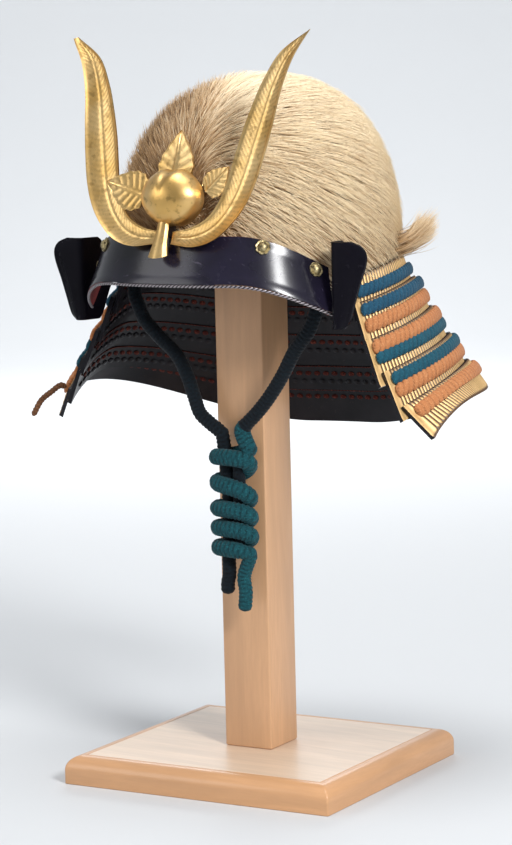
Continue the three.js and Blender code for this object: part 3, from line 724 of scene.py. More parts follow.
def place_floor():
    """A round floor that sweeps up into a wall, so that there is a backdrop on every side."""
    radius, bend, wall, sides = FLOOR.values()
    profile = [(r, 0.0) for r in FLOOR_RINGS]
    for turn in np.linspace(0, PI / 2, 10)[1:]:
        profile.append((radius - bend + bend * math.sin(turn), bend - bend * math.cos(turn)))
    profile.append((radius, wall))
    points = [(r * math.cos(a), r * math.sin(a), z) for r, z in profile for a in bearings(sides)]
    points.append((0, 0, 0))
    faces = band_faces(len(profile), sides)
    faces += [(len(points) - 1, (j + 1) % sides, j) for j in range(sides)]
    add_mesh("floor", points, faces, ["pale_floor"])


# ---------------------------------------------------------------- chin cord, its rings and its knot
CHIN_LEFT = [
    (-99, -39, 446.4), (-99, -41, 440), (-97, -43, 433), (-93, -44, 426), (-86, -44, 412), (-70, -44, 397),
    (-52, -44, 382), (-41, -44, 364), (-34, -44, 346), (-28, -44, 331), (-17, -44, 322), (-8, -43.5, 316),
    (-4.6, -43, 311), (-4.4, -43, 304.2),
]
CHIN_RIGHT = [
    (99, -39, 446.4), (100, -41, 438), (98, -44, 425), (90, -44, 408), (75, -44, 390), (61, -44, 367),
    (46, -44, 347), (33, -44, 333), (22, -44, 323), (17.2, -43.5, 316), (16.2, -43, 310), (16, -43, 304),
]
END_DARK = [(-1, -43, 196), (-1, -43, 187), (-2.5, -43.5, 179), (-2, -44, 169)]
END_TEAL = [(15, -43, 196), (15.1, -43, 187), (17, -44, 172), (16, -45, 155)]
THROUGH_KNOT = [(-1.5, -43, 285), (0.5, -43, 262), (0.5, -43, 228), (-1, -43, 205)]
KNOT_CORE = [(13, -43, 298), (12, -43, 270), (12, -43, 235), (13, -43, 207)]
CORE_WIDE = 12
KNOT = {"x": 6, "y": -43, "half_width": 24, "half_depth": 16, "cord": 15.4}
KNOT_TILT, KNOT_LEAN = 3.4, 2.6
RING = {"x": 99, "y": -38, "z": 457.5, "radius": 9.0, "wire": 1.6}
# height of the wound cord after that many turns round the knot
KNOT_TURNS = [(0, 301), (0.5, 294), (1, 287), (1.5, 272), (2, 257), (3, 239.5), (4, 222), (5, 204)]


class KABUTO_OT_chin_cord(bpy.types.Operator):
    """Braids the chin cord, winds its knot and sets its rings"""

    bl_idname = "kabuto.chin_cord"
    bl_label = "Chin cord"

    def execute(self, context):
        wide = context.scene.kabuto_sizes.cord_diameter / MM
        turns, before, after = knot_turns()
        nodes = {"chin_cord_left": ["chin_cord_left", "chin_cord_end_dark"],
                 "chin_cord_right": ["chin_cord_right", "chin_cord_knot", "chin_cord_end_teal"]}
        straight = CHIN_LEFT[:-1] + THROUGH_KNOT + END_DARK[1:]
        winding = CHIN_RIGHT[:-2] + turns + END_TEAL[1:]
        core, _, _ = woven_tube("chin_cord_core", KNOT_CORE, CORE_WIDE, "dark_cord", 90, 3.6, 0.7)
        dress(core, "dark_cord")
        for name, points, finishes, knotted in (
            ("chin_cord_left", straight, "dark_cord", None),
            ("chin_cord_right", winding, ("dark_cord", "teal_cord"), (before, after)),
        ):
            steps = 900 if knotted else 330
            strand, path, run = woven_tube(name, points, wide, finishes, steps, 3.8, 0.8, 0.35, knotted)
            dress(strand, "teal_cord" if knotted else "dark_cord", *nodes[name])
        for side, name in ((1, "chin_ring_right"), (-1, "chin_ring_left")):
            place_ring(name, side)
        return {"FINISHED"}


def knot_turns():
    """The right strand's five turns, and how far along the strand they start and end."""
    turns, heights = zip(*KNOT_TURNS)
    turn = np.linspace(0, turns[-1], 61)
    bearing = 2 * PI * turn
    thick = KNOT["cord"] / 2
    points = np.stack([
        KNOT["x"] + (KNOT["half_width"] - thick) * np.cos(bearing),
        KNOT["y"] + (KNOT["half_depth"] - thick) * np.sin(bearing),
        np.interp(turn, turns, heights) + KNOT_TILT * np.sin(bearing + KNOT_LEAN),
    ], axis=1).tolist()
    before = smooth_path(CHIN_RIGHT[:-2], 40)[1]
    after = before + smooth_path(points, 200)[1]
    return [tuple(point) for point in points], before, after


def place_ring(name, side):
    """A wire ring in the plane that runs front to back; the cord's upper end meets its foot."""
    steps, sides = 48, 12
    wire = RING["wire"]
    points = []
    for a in bearings(steps):
        for b in bearings(sides):
            out = RING["radius"] + wire * math.cos(b)
            x = side * RING["x"] + wire * math.sin(b)
            points.append((x, RING["y"] + out * math.cos(a), RING["z"] + out * math.sin(a)))
    around = band_faces(steps + 1, sides)
    faces = [tuple(corner % len(points) for corner in face) for face in around]
    dress(add_mesh(name, points, outward(faces, points), ["russet_iron"]), "iron", name)


# ---------------------------------------------------------------- stand
def square_loop(half_x, half_y, z, rounding):
    loop = []
    for sx, sy, start in ((1, 1, 0), (-1, 1, 90), (-1, -1, 180), (1, -1, 270)):
        for turn in (0, 22.5, 45, 67.5, 90):
            bearing = math.radians(start + turn)
            x = sx * (half_x - rounding) + rounding * math.cos(bearing)
            y = sy * (half_y - rounding) + rounding * math.sin(bearing)
            loop.append((x, y, z))
    return loop


def turned(points, degrees):
    c, s = math.cos(math.radians(degrees)), math.sin(math.radians(degrees))
    p = np.asarray(points, float)
    return np.stack([c * p[..., 0] - s * p[..., 1], s * p[..., 0] + c * p[..., 1], p[..., 2]], axis=-1)


BASE = {"half_x": 135, "half_y": 122.5, "edge": 12.5, "top": 25}
POST = {"half": 24, "corner": 1.6, "chamfer": 0.8}
STAND_TURN = 4.3


def base_loop(inset, z, corner=2):
    return square_loop(BASE["half_x"] - inset, BASE["half_y"] - inset, z, corner)


class KABUTO_OT_stand(bpy.types.Operator):
    """Builds the framed wooden base and the square post"""

    bl_idname = "kabuto.stand"
    bl_label = "Wooden stand"

    def execute(self, context):
        edge, top = BASE["edge"], BASE["top"]
        loops = [base_loop(0.6, 0), base_loop(0, 0.7)]
        for bearing in np.linspace(0, PI / 2, 12):
            loops.append(base_loop(edge * (1 - math.cos(bearing)), edge + edge * math.sin(bearing)))
        for inset, z in ((15.0, top), (15.3, top - 0.4), (15.6, top - 0.4), (15.9, top)):
            loops.append(base_loop(inset, z, 1))
        woods = ["maple_edge", "maple_edge_cross", "maple_panel"]
        base = sweep_mesh("stand_base", turned(loops, STAND_TURN), woods)
        # five points make a corner, and the border's grain turns from each side to the next
        marks = [j // 5 % 2 for _ in loops[1:] for j in range(len(loops[0]))]
        base.data.polygons.foreach_set("material_index", marks + [0, 2])
        dress(base, "maple_wood", "stand_base")
        foot, top, cut = BASE["top"] + 0.2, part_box("stand_post")[1][2] / MM, POST["chamfer"]
        loops = []
        for inset, z in ((cut, foot), (0, foot + 1), (0, 200), (0, 400), (0, top - 1), (cut, top)):
            half = POST["half"] - inset
            loops.append(square_loop(half, half, z, POST["corner"]))
        post = sweep_mesh("stand_post", turned(loops, STAND_TURN), ["maple_post"])
        dress(post, "maple_wood", "stand_post")
        return {"FINISHED"}


# ---------------------------------------------------------------- bowl and hair
def crown_grid(columns, rows, inset_at, rim_lift):
    climb = (np.arange(rows + 1) / rows)[:, None] ** 1.15
    azimuth = (2 * PI * np.arange(columns) / columns)[None, :]
    grid = dome_point(azimuth, climb, inset_at(climb, azimuth))
    grid[0, :, 2] = rim_height(azimuth[0]) + rim_lift
    return grid


BOWL_PLATES = 32
BOWL_WALL = 2.2


class KABUTO_OT_bowl(bpy.types.Operator):
    """Finishes the iron bowl with its vertical plates and the crest holder"""

    bl_idname = "kabuto.bowl"
    bl_label = "Bowl"

    def execute(self, context):
        def depth(climb, azimuth):
            seam = np.abs(np.sin(azimuth * BOWL_PLATES / 2)) ** 0.25
            return 3 + 8 * smooth(0, 0.12, climb) + 0.5 * (1 - seam) * (climb < 0.95)

        outer = crown_grid(128, 14, depth, -5)
        inner = crown_grid(128, 14, lambda c, a: depth(c, a) + BOWL_WALL, -5)
        bowl = wall_mesh("bowl_shell", outer, inner, ["russet_iron"], ring=True)
        dress(bowl, "iron", "bowl_shell")
        holder = bpy.data.objects["crest_holder"]
        holder.data.materials.clear()
        holder.data.materials.append(finish_of("russet_iron"))
        return {"FINISHED"}


def dome_normal(azimuth, climb):
    level = np.clip(climb, 0.02, 0.995) * PI / 2
    across = np.cos(level) ** (2 * (DOME["power"] - 1) / DOME["power"])
    up = np.sin(level) ** (2 * (DOME["power"] - 1) / DOME["power"])
    normal = np.stack([across * np.cos(azimuth), across * np.sin(azimuth), up], axis=-1)
    return unit(normal)


def strand_mesh(name, curves, widths, tone):
    """Fine three-sided hairs, each tapering to a point along its curve."""
    count_now, steps = curves.shape[:2]
    tangent = np.gradient(curves, axis=1)
    tangent /= np.linalg.norm(tangent, axis=2)[..., None] + 1e-9
    side = np.cross(tangent, np.array([0.31, 0.17, 0.93]))
    side /= np.linalg.norm(side, axis=2)[..., None] + 1e-9
    lift = np.cross(side, tangent)
    taper = np.linspace(1, 0.45, steps - 1)[None, :, None] * widths[:, None, None] / 2
    rings = []
    for bearing in (0, 2 * PI / 3, 4 * PI / 3):
        spread = side[:, :-1] * math.cos(bearing) + lift[:, :-1] * math.sin(bearing)
        rings.append(curves[:, :-1] + spread * taper)
    rings = np.stack(rings, axis=2).reshape(count_now, -1, 3)
    points = np.concatenate([rings, curves[:, -1:]], axis=1)
    per = points.shape[1]
    pattern = [(2, 1, 0)]
    for i in range(steps - 2):
        for j in range(3):
            a, b = 3 * i + j, 3 * i + (j + 1) % 3
            pattern.append((a, b, b + 3, a + 3))
    last = 3 * (steps - 2)
    pattern += [(last + j, last + (j + 1) % 3, per - 1) for j in range(3)]
    faces = []
    for start in range(0, count_now * per, per):
        faces += [tuple(start + k for k in face) for face in pattern]
    shades = np.concatenate([np.repeat(tone[:, :-1], 3, axis=1), tone[:, -1:]], axis=1)
    return add_mesh(name, points.reshape(-1, 3), faces, ["combed_hair"], shades)


def flattened(vectors, normal):
    """Unit directions with the part along the normal taken out."""
    return unit(vectors - normal * np.sum(vectors * normal, axis=1)[:, None])


HAIR_STEPS = 4
CROWN_ROUND = 236  # about the crown's diameter, by which long hair bends to follow it
HAIR_SEAM = 0.10  # share of the climb over which the roots come down to the rim


def comb_hair(name, chance, wanted, low, high, width):
    """Hair rooted between two azimuths: short and upright at the left and front, else long and combed."""
    azimuth = chance.uniform(low, high, wanted)
    climb = np.arcsin(chance.uniform(0.0, 1.0, wanted)) * 2 / PI
    combed = smooth(-0.45, 0.35, np.cos(azimuth - math.radians(20)) + 0.55 * climb)
    root_depth = 8.5 - 3.0 * combed + chance.uniform(-1, 1, wanted)
    root = dome_point(azimuth, climb, root_depth)
    edge = dome_point(azimuth, np.full(wanted, HAIR_SEAM), root_depth)[:, 2]
    rim = rim_height(azimuth) + 1.5
    root[:, 2] = np.where(climb < HAIR_SEAM, rim + (edge - rim) * climb / HAIR_SEAM, root[:, 2])
    keep = root[:, 2] >= rim - 0.5
    azimuth, climb, combed, root = azimuth[keep], climb[keep], combed[keep], root[keep]
    wanted = len(azimuth)
    normal = dome_normal(azimuth, climb)
    swirl = 0.22 * np.sin(5.0 * azimuth + 7.0 * climb) + chance.normal(0, 0.35, wanted)
    downward = -0.42 - 0.5 * (1 - climb) ** 2 + 0.30 * swirl
    flow = flattened(np.stack([0.30 + 0.5 * swirl, np.full(wanted, 1.0), downward], axis=1), normal)
    upright = np.stack([-0.25 + 0.3 * swirl, np.full(wanted, 0.2), np.full(wanted, 0.55)], axis=1)
    upright = flattened(upright, normal)
    lie = upright * (1 - combed[:, None]) + flow * combed[:, None]
    reach = 13 + 27 * combed + chance.normal(0, 2.2, wanted)
    rise = (0.74 * (1 - combed) + 0.45 * combed) * chance.uniform(0.75, 1.2, wanted)
    s = np.linspace(0, 1, HAIR_STEPS)[None, :, None]
    length_now = reach[:, None, None]
    out = rise[:, None, None] * length_now * s * (1 - 0.45 * s * combed[:, None, None])
    out -= (length_now * s) ** 2 / CROWN_ROUND
    curves = root[:, None] + lie[:, None] * length_now * s * 0.92 + normal[:, None] * out
    pale = 0.25 + 0.58 * combed + chance.normal(0, 0.13, wanted)
    tone = np.clip(pale[:, None] + np.linspace(-0.22, 0.34, HAIR_STEPS)[None, :], 0, 1)
    widths = width / MM * chance.uniform(0.7, 1.2, wanted)
    return strand_mesh(name, curves, widths, tone)


class KABUTO_OT_hair(bpy.types.Operator):
    """Combs the hair over the crown, strand by strand, with the tuft at the right rear"""

    bl_idname = "kabuto.hair"
    bl_label = "Hair"

    def execute(self, context):
        sizes = context.scene.kabuto_sizes
        chance = np.random.default_rng(41)
        columns, rows, shade = 92, 22, 0.2
        outer = crown_grid(columns, rows, lambda c, a: 2.2 + 4.6 * smooth(0, 0.12, c) + 0 * a, 1)
        inner = crown_grid(columns, rows, lambda c, a: 2.6 + 8 * smooth(0, 0.12, c) + 0 * a, 1)
        tone = np.full((rows + 1, columns), shade)
        backing = wall_mesh("hair_backing", outer, inner, ["combed_hair"], tone=tone, ring=True)
        backing.data.attributes["tone"].data.foreach_set("value", np.full(2 * tone.size, shade))
        dress(backing, "hair", "hair_cover")
        third = 2 * PI / 3
        for k, start in enumerate((-PI / 2, -PI / 2 + third, -PI / 2 + 2 * third)):
            hair = comb_hair(f"hair_strands_{k + 1}", chance, sizes.strands // 3, start, start + third,
                             sizes.strand_width)
            dress(hair, "hair")
        dress(comb_tuft(chance, sizes.strand_width), "hair", "hair_tuft")
        return {"FINISHED"}


TUFT = {"strands": 950, "steps": 6, "bearing": 26, "z": 474}


def comb_tuft(chance, width):
    """The lock that springs out at the right rear, fanned and rising."""
    wanted, steps = TUFT["strands"], TUFT["steps"]
    bearing = math.radians(TUFT["bearing"])
    out = np.array([math.cos(bearing), math.sin(bearing), 0])
    side = np.array([-out[1], out[0], 0])
    start = dome_point(bearing, 0.02, 3.0)
    start[2] = TUFT["z"]
    spread = chance.normal(0, 1, (wanted, 2))
    root = start + side * spread[:, :1] * 8 + np.array([0, 0, 1]) * spread[:, 1:] * 4
    reach = chance.uniform(22, 41, wanted)
    s = np.linspace(0, 1, steps)[None, :, None]
    fan = side * (spread[:, :1] * -3 + chance.normal(0, 5, (wanted, 1)))
    rise = (8 + 13 * s**1.4) * s + chance.normal(0, 4.5, (wanted, 1, 1)) * s**1.5
    curves = root[:, None] + out * reach[:, None, None] * s + fan[:, None] * s**1.3
    curves = curves + np.array([0, 0, 1]) * rise
    tone = np.clip(0.5 + chance.normal(0, 0.12, (wanted, 1)) + np.linspace(-0.2, 0.3, steps)[None], 0, 1)
    return strand_mesh("hair_tuft", curves, np.full(wanted, width / MM * 0.8), tone)


# ---------------------------------------------------------------- brow, its edging and its rivets
ROPE_PITCH = 3.8
RIVET_PLACES = [
    ("brow_rivet_1", 0.49, 0.16), ("brow_rivet_2", 0.80, 0.20),
    ("brow_rivet_3", -0.49, 0.16), ("brow_rivet_4", -0.80, 0.20),
]


class KABUTO_OT_brow(bpy.types.Operator):
    """Builds the lacquered brow with its red underside, rope edging and rivets"""

    bl_idname = "kabuto.brow"
    bl_label = "Brow"

    def execute(self, context):
        q = np.linspace(-1, 1, 161)[None, :]
        v = np.linspace(0, 1, 15)[:, None]
        rim = 0.9 * np.exp(-((v - 0.03) / 0.05) ** 2) + 0.7 * np.exp(-((v - 0.95) / 0.04) ** 2) + 0 * q
        q, v = np.broadcast_arrays(q, v)
        outer = brow_point(q, v, rim[..., None] + 1.0)
        plate = wall_mesh("brow_plate", outer, brow_point(q, v, -1.0), ["black_lacquer", "red_lacquer"],
                          index=(0, 1, 1))
        dress(plate, "black_lacquer", "brow_plate")
        dress(twist_rope(context.scene.kabuto_sizes.rope_radius / MM), "silver_rope", "brow_rope_trim")
        for name, q_now, v_now in RIVET_PLACES:
            dress(raise_rivet(name, q_now, v_now), "brass", name)
        return {"FINISHED"}


def twist_rope(radius):
    """Two strands twisted along the brow's lower edge."""
    path = brow_point(np.linspace(-1, 1, 81), np.ones(81), 0.0) - np.array([0, 0, radius + 0.4])
    path, run = smooth_path(path, 720)
    around = bearings(9)
    along = np.linspace(0, run, len(path))[:, None]
    strand = 0.5 + 0.5 * np.cos(2 * around - 2 * PI * along / ROPE_PITCH)
    wide = radius * (0.78 + 0.30 * strand)
    sections = tube_sections(path, *path_frames(path), wide, wide, around)
    # strand is also the tone, which paints shade into the grooves between the two strands.
    return sweep_mesh("brow_rope_trim", sections, ["silver_rope"], strand)


def raise_rivet(name, q, v):
    """A dome on a flower washer, square to the brow."""
    along = brow_point(q + 0.01, v, 0.0) - brow_point(q - 0.01, v, 0.0)
    down = brow_point(q, v + 0.05, 0.0) - brow_point(q, v - 0.05, 0.0)
    out = unit(np.cross(along, down))
    if out[0] * q - out[1] < 0:
        out = -out
    along = unit(along)
    across = np.cross(out, along)
    centre = brow_point(q, v, 0.0) + out * 1.5
    around = bearings(96)
    petal = 1 - 0.13 * (1 - np.abs(np.cos(4 * around)) ** 0.6)
    washer = ((6.4, -0.5), (6.6, 0.1), (6.6, 0.7), (6.1, 1.1), (5.0, 0.9))
    dome = [(4.7, 0.75), (4.4, 1.0)]
    dome += [(4.4 * math.cos(b), 1.0 + 3.2 * math.sin(b)) for b in np.linspace(0.2, 1.5, 8)]
    rings = [(radius * petal, rise) for radius, rise in washer]
    rings += [(np.full(around.size, radius), rise) for radius, rise in dome]
    sections = []
    for wide, rise in rings:
        flat = along * (wide * np.cos(around))[:, None] + across * (wide * np.sin(around))[:, None]
        sections.append(centre + flat + out * rise)
    return sweep_mesh(name, sections, ["aged_brass"])


# ---------------------------------------------------------------- turn-backs
FLAP_EDGE = [(413, 143), (419, 148.5), (432, 153), (450, 159), (466, 165), (476, 166), (483, 161), (487, 151)]


FLAP_ROOT = {"x": 128, "y": -32, "z": 457, "narrow": 0.26}
FLAP_BEND = {"x": 132, "y": -74.5, "radius": 5}
FLAP_THICK = 1.8


def flap_grid(offset, side):
    """The side part runs forward from its root, bends, and opens outwards as the wing."""
    edge, _ = smooth_path(FLAP_EDGE, 40)
    root_x, root_y, root_z, narrowest = FLAP_ROOT.values()
    bend_x, bend_y, bend = FLAP_BEND.values()
    side_share = 0.7
    rows = []
    for z, x in edge:
        row = []
        for u in np.linspace(0, side_share, 12):
            narrow = narrowest + (1 - narrowest) * float(smooth(0, 0.4, u))
            k = u / side_share
            row.append((root_x + (bend_x - root_x) * k + offset, root_y + (bend_y + bend - root_y) * k,
                        root_z + (z - root_z + (1 - narrow) * 4) * narrow))
        for turn in np.radians([18, 36, 54, 72, 90]):
            row.append((bend_x + bend - (bend - offset) * math.cos(turn),
                        bend_y + bend - (bend - offset) * math.sin(turn), z))
        for w in np.linspace(0.1, 1, 12):
            wing = bend_x + bend + (x - bend_x - bend) * w
            row.append((wing, bend_y + offset + 4 * w**2, z))
        rows.append(row)
    grid = np.asarray(rows, float)
    grid[..., 0] *= side
    return grid


class KABUTO_OT_turn_backs(bpy.types.Operator):
    """Bends the two lacquered turn-backs"""

    bl_idname = "kabuto.turn_backs"
    bl_label = "Turn-backs"

    def execute(self, context):
        for name, side in (("turn_back_right", 1), ("turn_back_left", -1)):
            outer, inner = flap_grid(0, side), flap_grid(FLAP_THICK, side)
            bead = np.zeros(outer.shape[:2])
            bead[[0, 1, -2, -1], 8:] = 0.5
            bead[:, -2:] = 0.5
            outer[..., 1] -= bead
            inner[..., 1] += bead
            dress(wall_mesh(name, outer, inner, ["matt_lacquer"]), "black_lacquer", name)
        return {"FINISHED"}


# ---------------------------------------------------------------- neck guard
class KABUTO_OT_neck(bpy.types.Operator):
    """Builds the five lames: gold scales outside, black lacquer and red lacing inside"""

    bl_idname = "kabuto.neck"
    bl_label = "Neck guard"

    def execute(self, context):
        pitch = context.scene.kabuto_sizes.rib_pitch / MM
        for k, lame in enumerate(LAMES):
            plate = scale_lame(f"neck_lame_{k + 1}", lame, pitch, k == 4)
            dress(plate, "gold_lacquer", f"neck_lame_{k + 1}")
            dress(inner_stitches(f"inner_lacing_{k + 1}", lame, k == 4), "orange_braid")
        return {"FINISHED"}


def lame_run(lame, v):
    """Length along a lame at each of its columns."""
    t = np.linspace(0, 1, 400)
    return t, run_along(lame_point(lame, t, np.full(t.size, v)))


LAME_INSIDE, STITCH_INSIDE = -2.4, -2.9
# (level, finish, pitch, half length, half height) of the lacing that shows inside a lame
STITCHES = [(0.46, 0, 3.4, 1.8, 0.8), (0.62, 0, 9.0, 3.3, 2.4), (0.80, 1, 9.0, 3.4, 2.6)]
LOWEST_STITCHES = [(0.30, 0, 3.4, 1.8, 0.8), (0.44, 0, 9.0, 3.3, 2.4)]


def scale_lame(name, lame, pitch, lowest):
    """A lame with a rib for each scale, plain margins at its two front edges and a plain foot."""
    table, run = lame_run(lame, 0.5)
    ribs = round(run[-1] / pitch)
    columns = ribs * 6 + 1
    t = np.linspace(0, 1, columns)[None, :]
    levels = np.array([0, 0.05, 0.12, 0.3, 0.5, 0.7, 0.88, 0.94, 0.97, 1.0])
    v = levels[:, None]
    along = np.interp(t, table, run)
    margin = smooth(6.0, 8.5, along) * smooth(6.0, 8.5, run[-1] - along)
    wave = np.abs(np.sin(PI * t * ribs)) ** 0.8
    head = smooth(0.0, 0.10, v)
    foot = 1 - smooth(0.93, 0.96, v)
    relief = margin * wave * (0.35 + 0.65 * head) * foot
    rolled = 0.9 * (1 - smooth(1.0, 4.5, np.minimum(along, run[-1] - along)))
    height = 1.3 * relief + 0.7 * (1 - margin) + rolled + 0.6 * (1 - foot)
    t_all, v_all = np.broadcast_arrays(t, v)
    outer = lame_point(lame, t_all, v_all, height)
    outer[0, :, 2] -= 1.6 * (1 - wave[0]) * margin[0]
    inner = lame_point(lame, t_all, v_all, LAME_INSIDE)
    # The tone paints shade into the grooves between the ribs; on the lowest lame the foot also gets the deep
    # colour.
    tone = np.clip(relief + (1 - margin) * 0.85, 0, 1) * np.ones_like(v)
    if lowest:
        tone = tone * foot
    return wall_mesh(name, outer, inner, ["gold_lacquer", "inner_lacquer", "gold_lacquer"], tone=tone,
                     index=(0, 1, 1))


def inner_stitches(name, lame, lowest):
    """Rows of lacing that come through the lame, as small ovals on its inside."""
    points, faces, marks = [], [], []
    table, run = lame_run(lame, 0.7)
    for v, material, pitch, half_long, half_tall in LOWEST_STITCHES if lowest else STITCHES:
        number = int((run[-1] - 14) / pitch)
        for n in range(number):
            t = float(np.interp(9 + pitch * (n + 0.5 * (material == 1)), run, table))
            centre = lame_point(lame, t, v, STITCH_INSIDE)
            along = lame_point(lame, t + 0.002, v, STITCH_INSIDE) - centre
            down = lame_point(lame, t, v + 0.02, STITCH_INSIDE) - centre
            along, down = unit(along), unit(down)
            inward = np.cross(along, down)
            bead = oval_bead(centre, along * half_long, down * half_tall, inward)
            oval = outward(oval_faces(), bead)
            faces += [tuple(len(points) + corner for corner in face) for face in oval]
            points += bead
            marks += [material] * len(oval)
    return add_mesh(name, points, faces, ["red_braid", "inner_lacquer"], face_material=marks)


def oval_bead(centre, long_axis, tall_axis, deep_axis):
    points = []
    for level in (-0.6, 0.2, 0.75):
        wide = math.sqrt(1 - level**2)
        for bearing in bearings(8):
            oval = long_axis * wide * math.cos(bearing) + tall_axis * wide * math.sin(bearing)
            points.append(centre + oval + deep_axis * level)
    return points


def oval_faces():
    return [tuple(range(7, -1, -1)), tuple(range(16, 24))] + band_faces(3, 8)


# ---------------------------------------------------------------- lacing outside
def braid_row(name, lame, v, material, pitch):
    """A thick braid laid along a lame, its strands crossing it at a slant."""
    steps, sides = 560, 12
    t = np.linspace(0.006, 0.994, steps + 1)
    lift = 3.2
    level = np.full(steps + 1, v)
    centre = lame_point(lame, t, level, lift)
    outwards = unit(lame_point(lame, t, level, lift + 1) - centre)
    down = unit(lame_point(lame, t, level + 0.02, lift) - centre)
    run = run_along(centre)
    around = bearings(sides)
    slant = PI * run[:, None] / pitch + 1.15 * np.cos(around)
    strand = np.abs(np.sin(slant)) ** 0.5
    close = np.clip(np.minimum(run, run[-1] - run) / 3.6, 0, 1)
    rounded = np.sqrt(np.clip(1 - (1 - close) ** 2, 0.03, 1))[:, None]
    half_tall, half_thick = 6.3 if material == "orange_braid" else 5.5, 2.7
    swell = (0.74 + 0.30 * strand) * rounded
    sections = tube_sections(centre, down, outwards, swell * half_tall, swell * half_thick, around)
    # The strands also give the tone, which paints shade between them.
    return sweep_mesh(name, sections, [material], strand)


LACE_END_WIDE = 6
LACE_END = [
    (-189, -32.5, 345.5), (-188.5, -37, 348), (-189.5, -42, 347.5), (-194, -46, 343), (-202, -52, 335),
    (-207, -59, 321),
]


class KABUTO_OT_lacing(bpy.types.Operator):
    """Lays the braided rows on the lames, and the loose end at the left"""

    bl_idname = "kabuto.lacing"
    bl_label = "Lacing"

    def execute(self, context):
        pitch = context.scene.kabuto_sizes.braid_pitch / MM
        for name, lame, v, material in LACES:
            dress(braid_row(name, LAMES[lame], v, material, pitch), material, name)
        end, path, run = woven_tube("lace_end_left", LACE_END, LACE_END_WIDE, "brown_braid", 60, 3.4, 0.9)
        dress(end, "brown_braid", "lace_end_left")
        return {"FINISHED"}


# ---------------------------------------------------------------- crest
HORN = [
    (9, 487, 7, 497), (32, 485, 26, 501), (51, 490, 41, 509), (66, 501, 51, 522), (79, 517, 57, 538),
    (88, 537, 61, 556), (94, 561, 66, 578), (99, 589, 73, 601), (103, 616, 82, 624), (111, 642, 96, 647),
    (124, 664, 122.6, 665),
]
STEM = [(-128, 508, 5), (-131, 498, 6), (-135, 488, 7), (-138, 478, 9.5)]
LEAVES = [
    ("crest_leaf_centre", (0, 536), (2, 583), 18, 0), ("crest_leaf_left", (-28.5, 528), (-64, 540), 17, 10),
    ("crest_leaf_right", (37, 531), (56, 552), 12, 0),
]


GILT_WALL = 1.6
VEIN_PITCH, VEIN_SLANT = 6.4, 15


def crest_y(z):
    """The crest leans back as it rises."""
    return -129.5 + 46 * np.maximum((z - 486) / 178, 0)


class KABUTO_OT_crest(bpy.types.Operator):
    """Chases the gilt crest: two leaf-shaped horns, the fruit on its stem, and three leaves"""

    bl_idname = "kabuto.crest"
    bl_label = "Crest"

    def execute(self, context):
        for name, side in (("crest_horn_right", 1), ("crest_horn_left", -1)):
            dress(chase_horn(name, side), "gilt_copper", name)
        dress(raise_fruit(), "gilt_copper", "crest_fruit")
        for leaf in LEAVES:
            dress(chase_leaf(*leaf), "gilt_copper", leaf[0])
        return {"FINISHED"}


def chase_horn(name, side):
    edges, run = smooth_path(HORN, 190)
    w = np.linspace(0, 1, 27)[None, :]
    outer_x, outer_z, inner_x, inner_z = (edges[:, k:k + 1] for k in range(4))
    x = outer_x + (inner_x - outer_x) * w
    z = outer_z + (inner_z - outer_z) * w
    wide = np.minimum((outer_x - inner_x) / 12, 1)
    from_mid = np.abs(2 * w - 1)
    along = np.linspace(0, run, len(edges))[:, None]
    fade = smooth(0, 20, along) * smooth(0, 22, run - along)
    vein = np.abs(np.sin(PI * (along - VEIN_SLANT * from_mid**1.2) / VEIN_PITCH)) ** 0.40
    cut = (1 - vein) * fade * smooth(0.05, 0.2, from_mid) * (1 - smooth(0.80, 0.88, from_mid))
    midrib = np.exp(-(((2 * w - 1) / 0.07) ** 2)) * fade
    raised = smooth(0.86, 0.95, from_mid) * smooth(0, 10, run - along)
    relief = 0.6 * cut - 0.4 * midrib - 0.5 * raised
    y = crest_y(z) - 3 + 4 * w + 3 * (1 - (2 * w - 1) ** 2) * wide + relief
    tips = smooth(run - 45, run, along)
    # The tone paints shade into the chased veins and the groove inside the raised rim, and darkens the horn
    # towards its tips.
    tone = np.clip(1 - 0.8 * cut - 0.6 * tips - 0.5 * smooth(0.80, 0.85, from_mid) * (1 - raised), 0, 1)
    outer = np.stack([side * x, y, z], axis=-1)
    inner = np.stack([side * x, y - relief + GILT_WALL, z], axis=-1)
    return wall_mesh(name, outer, inner, ["gilt_copper"], tone=tone * np.ones_like(x))


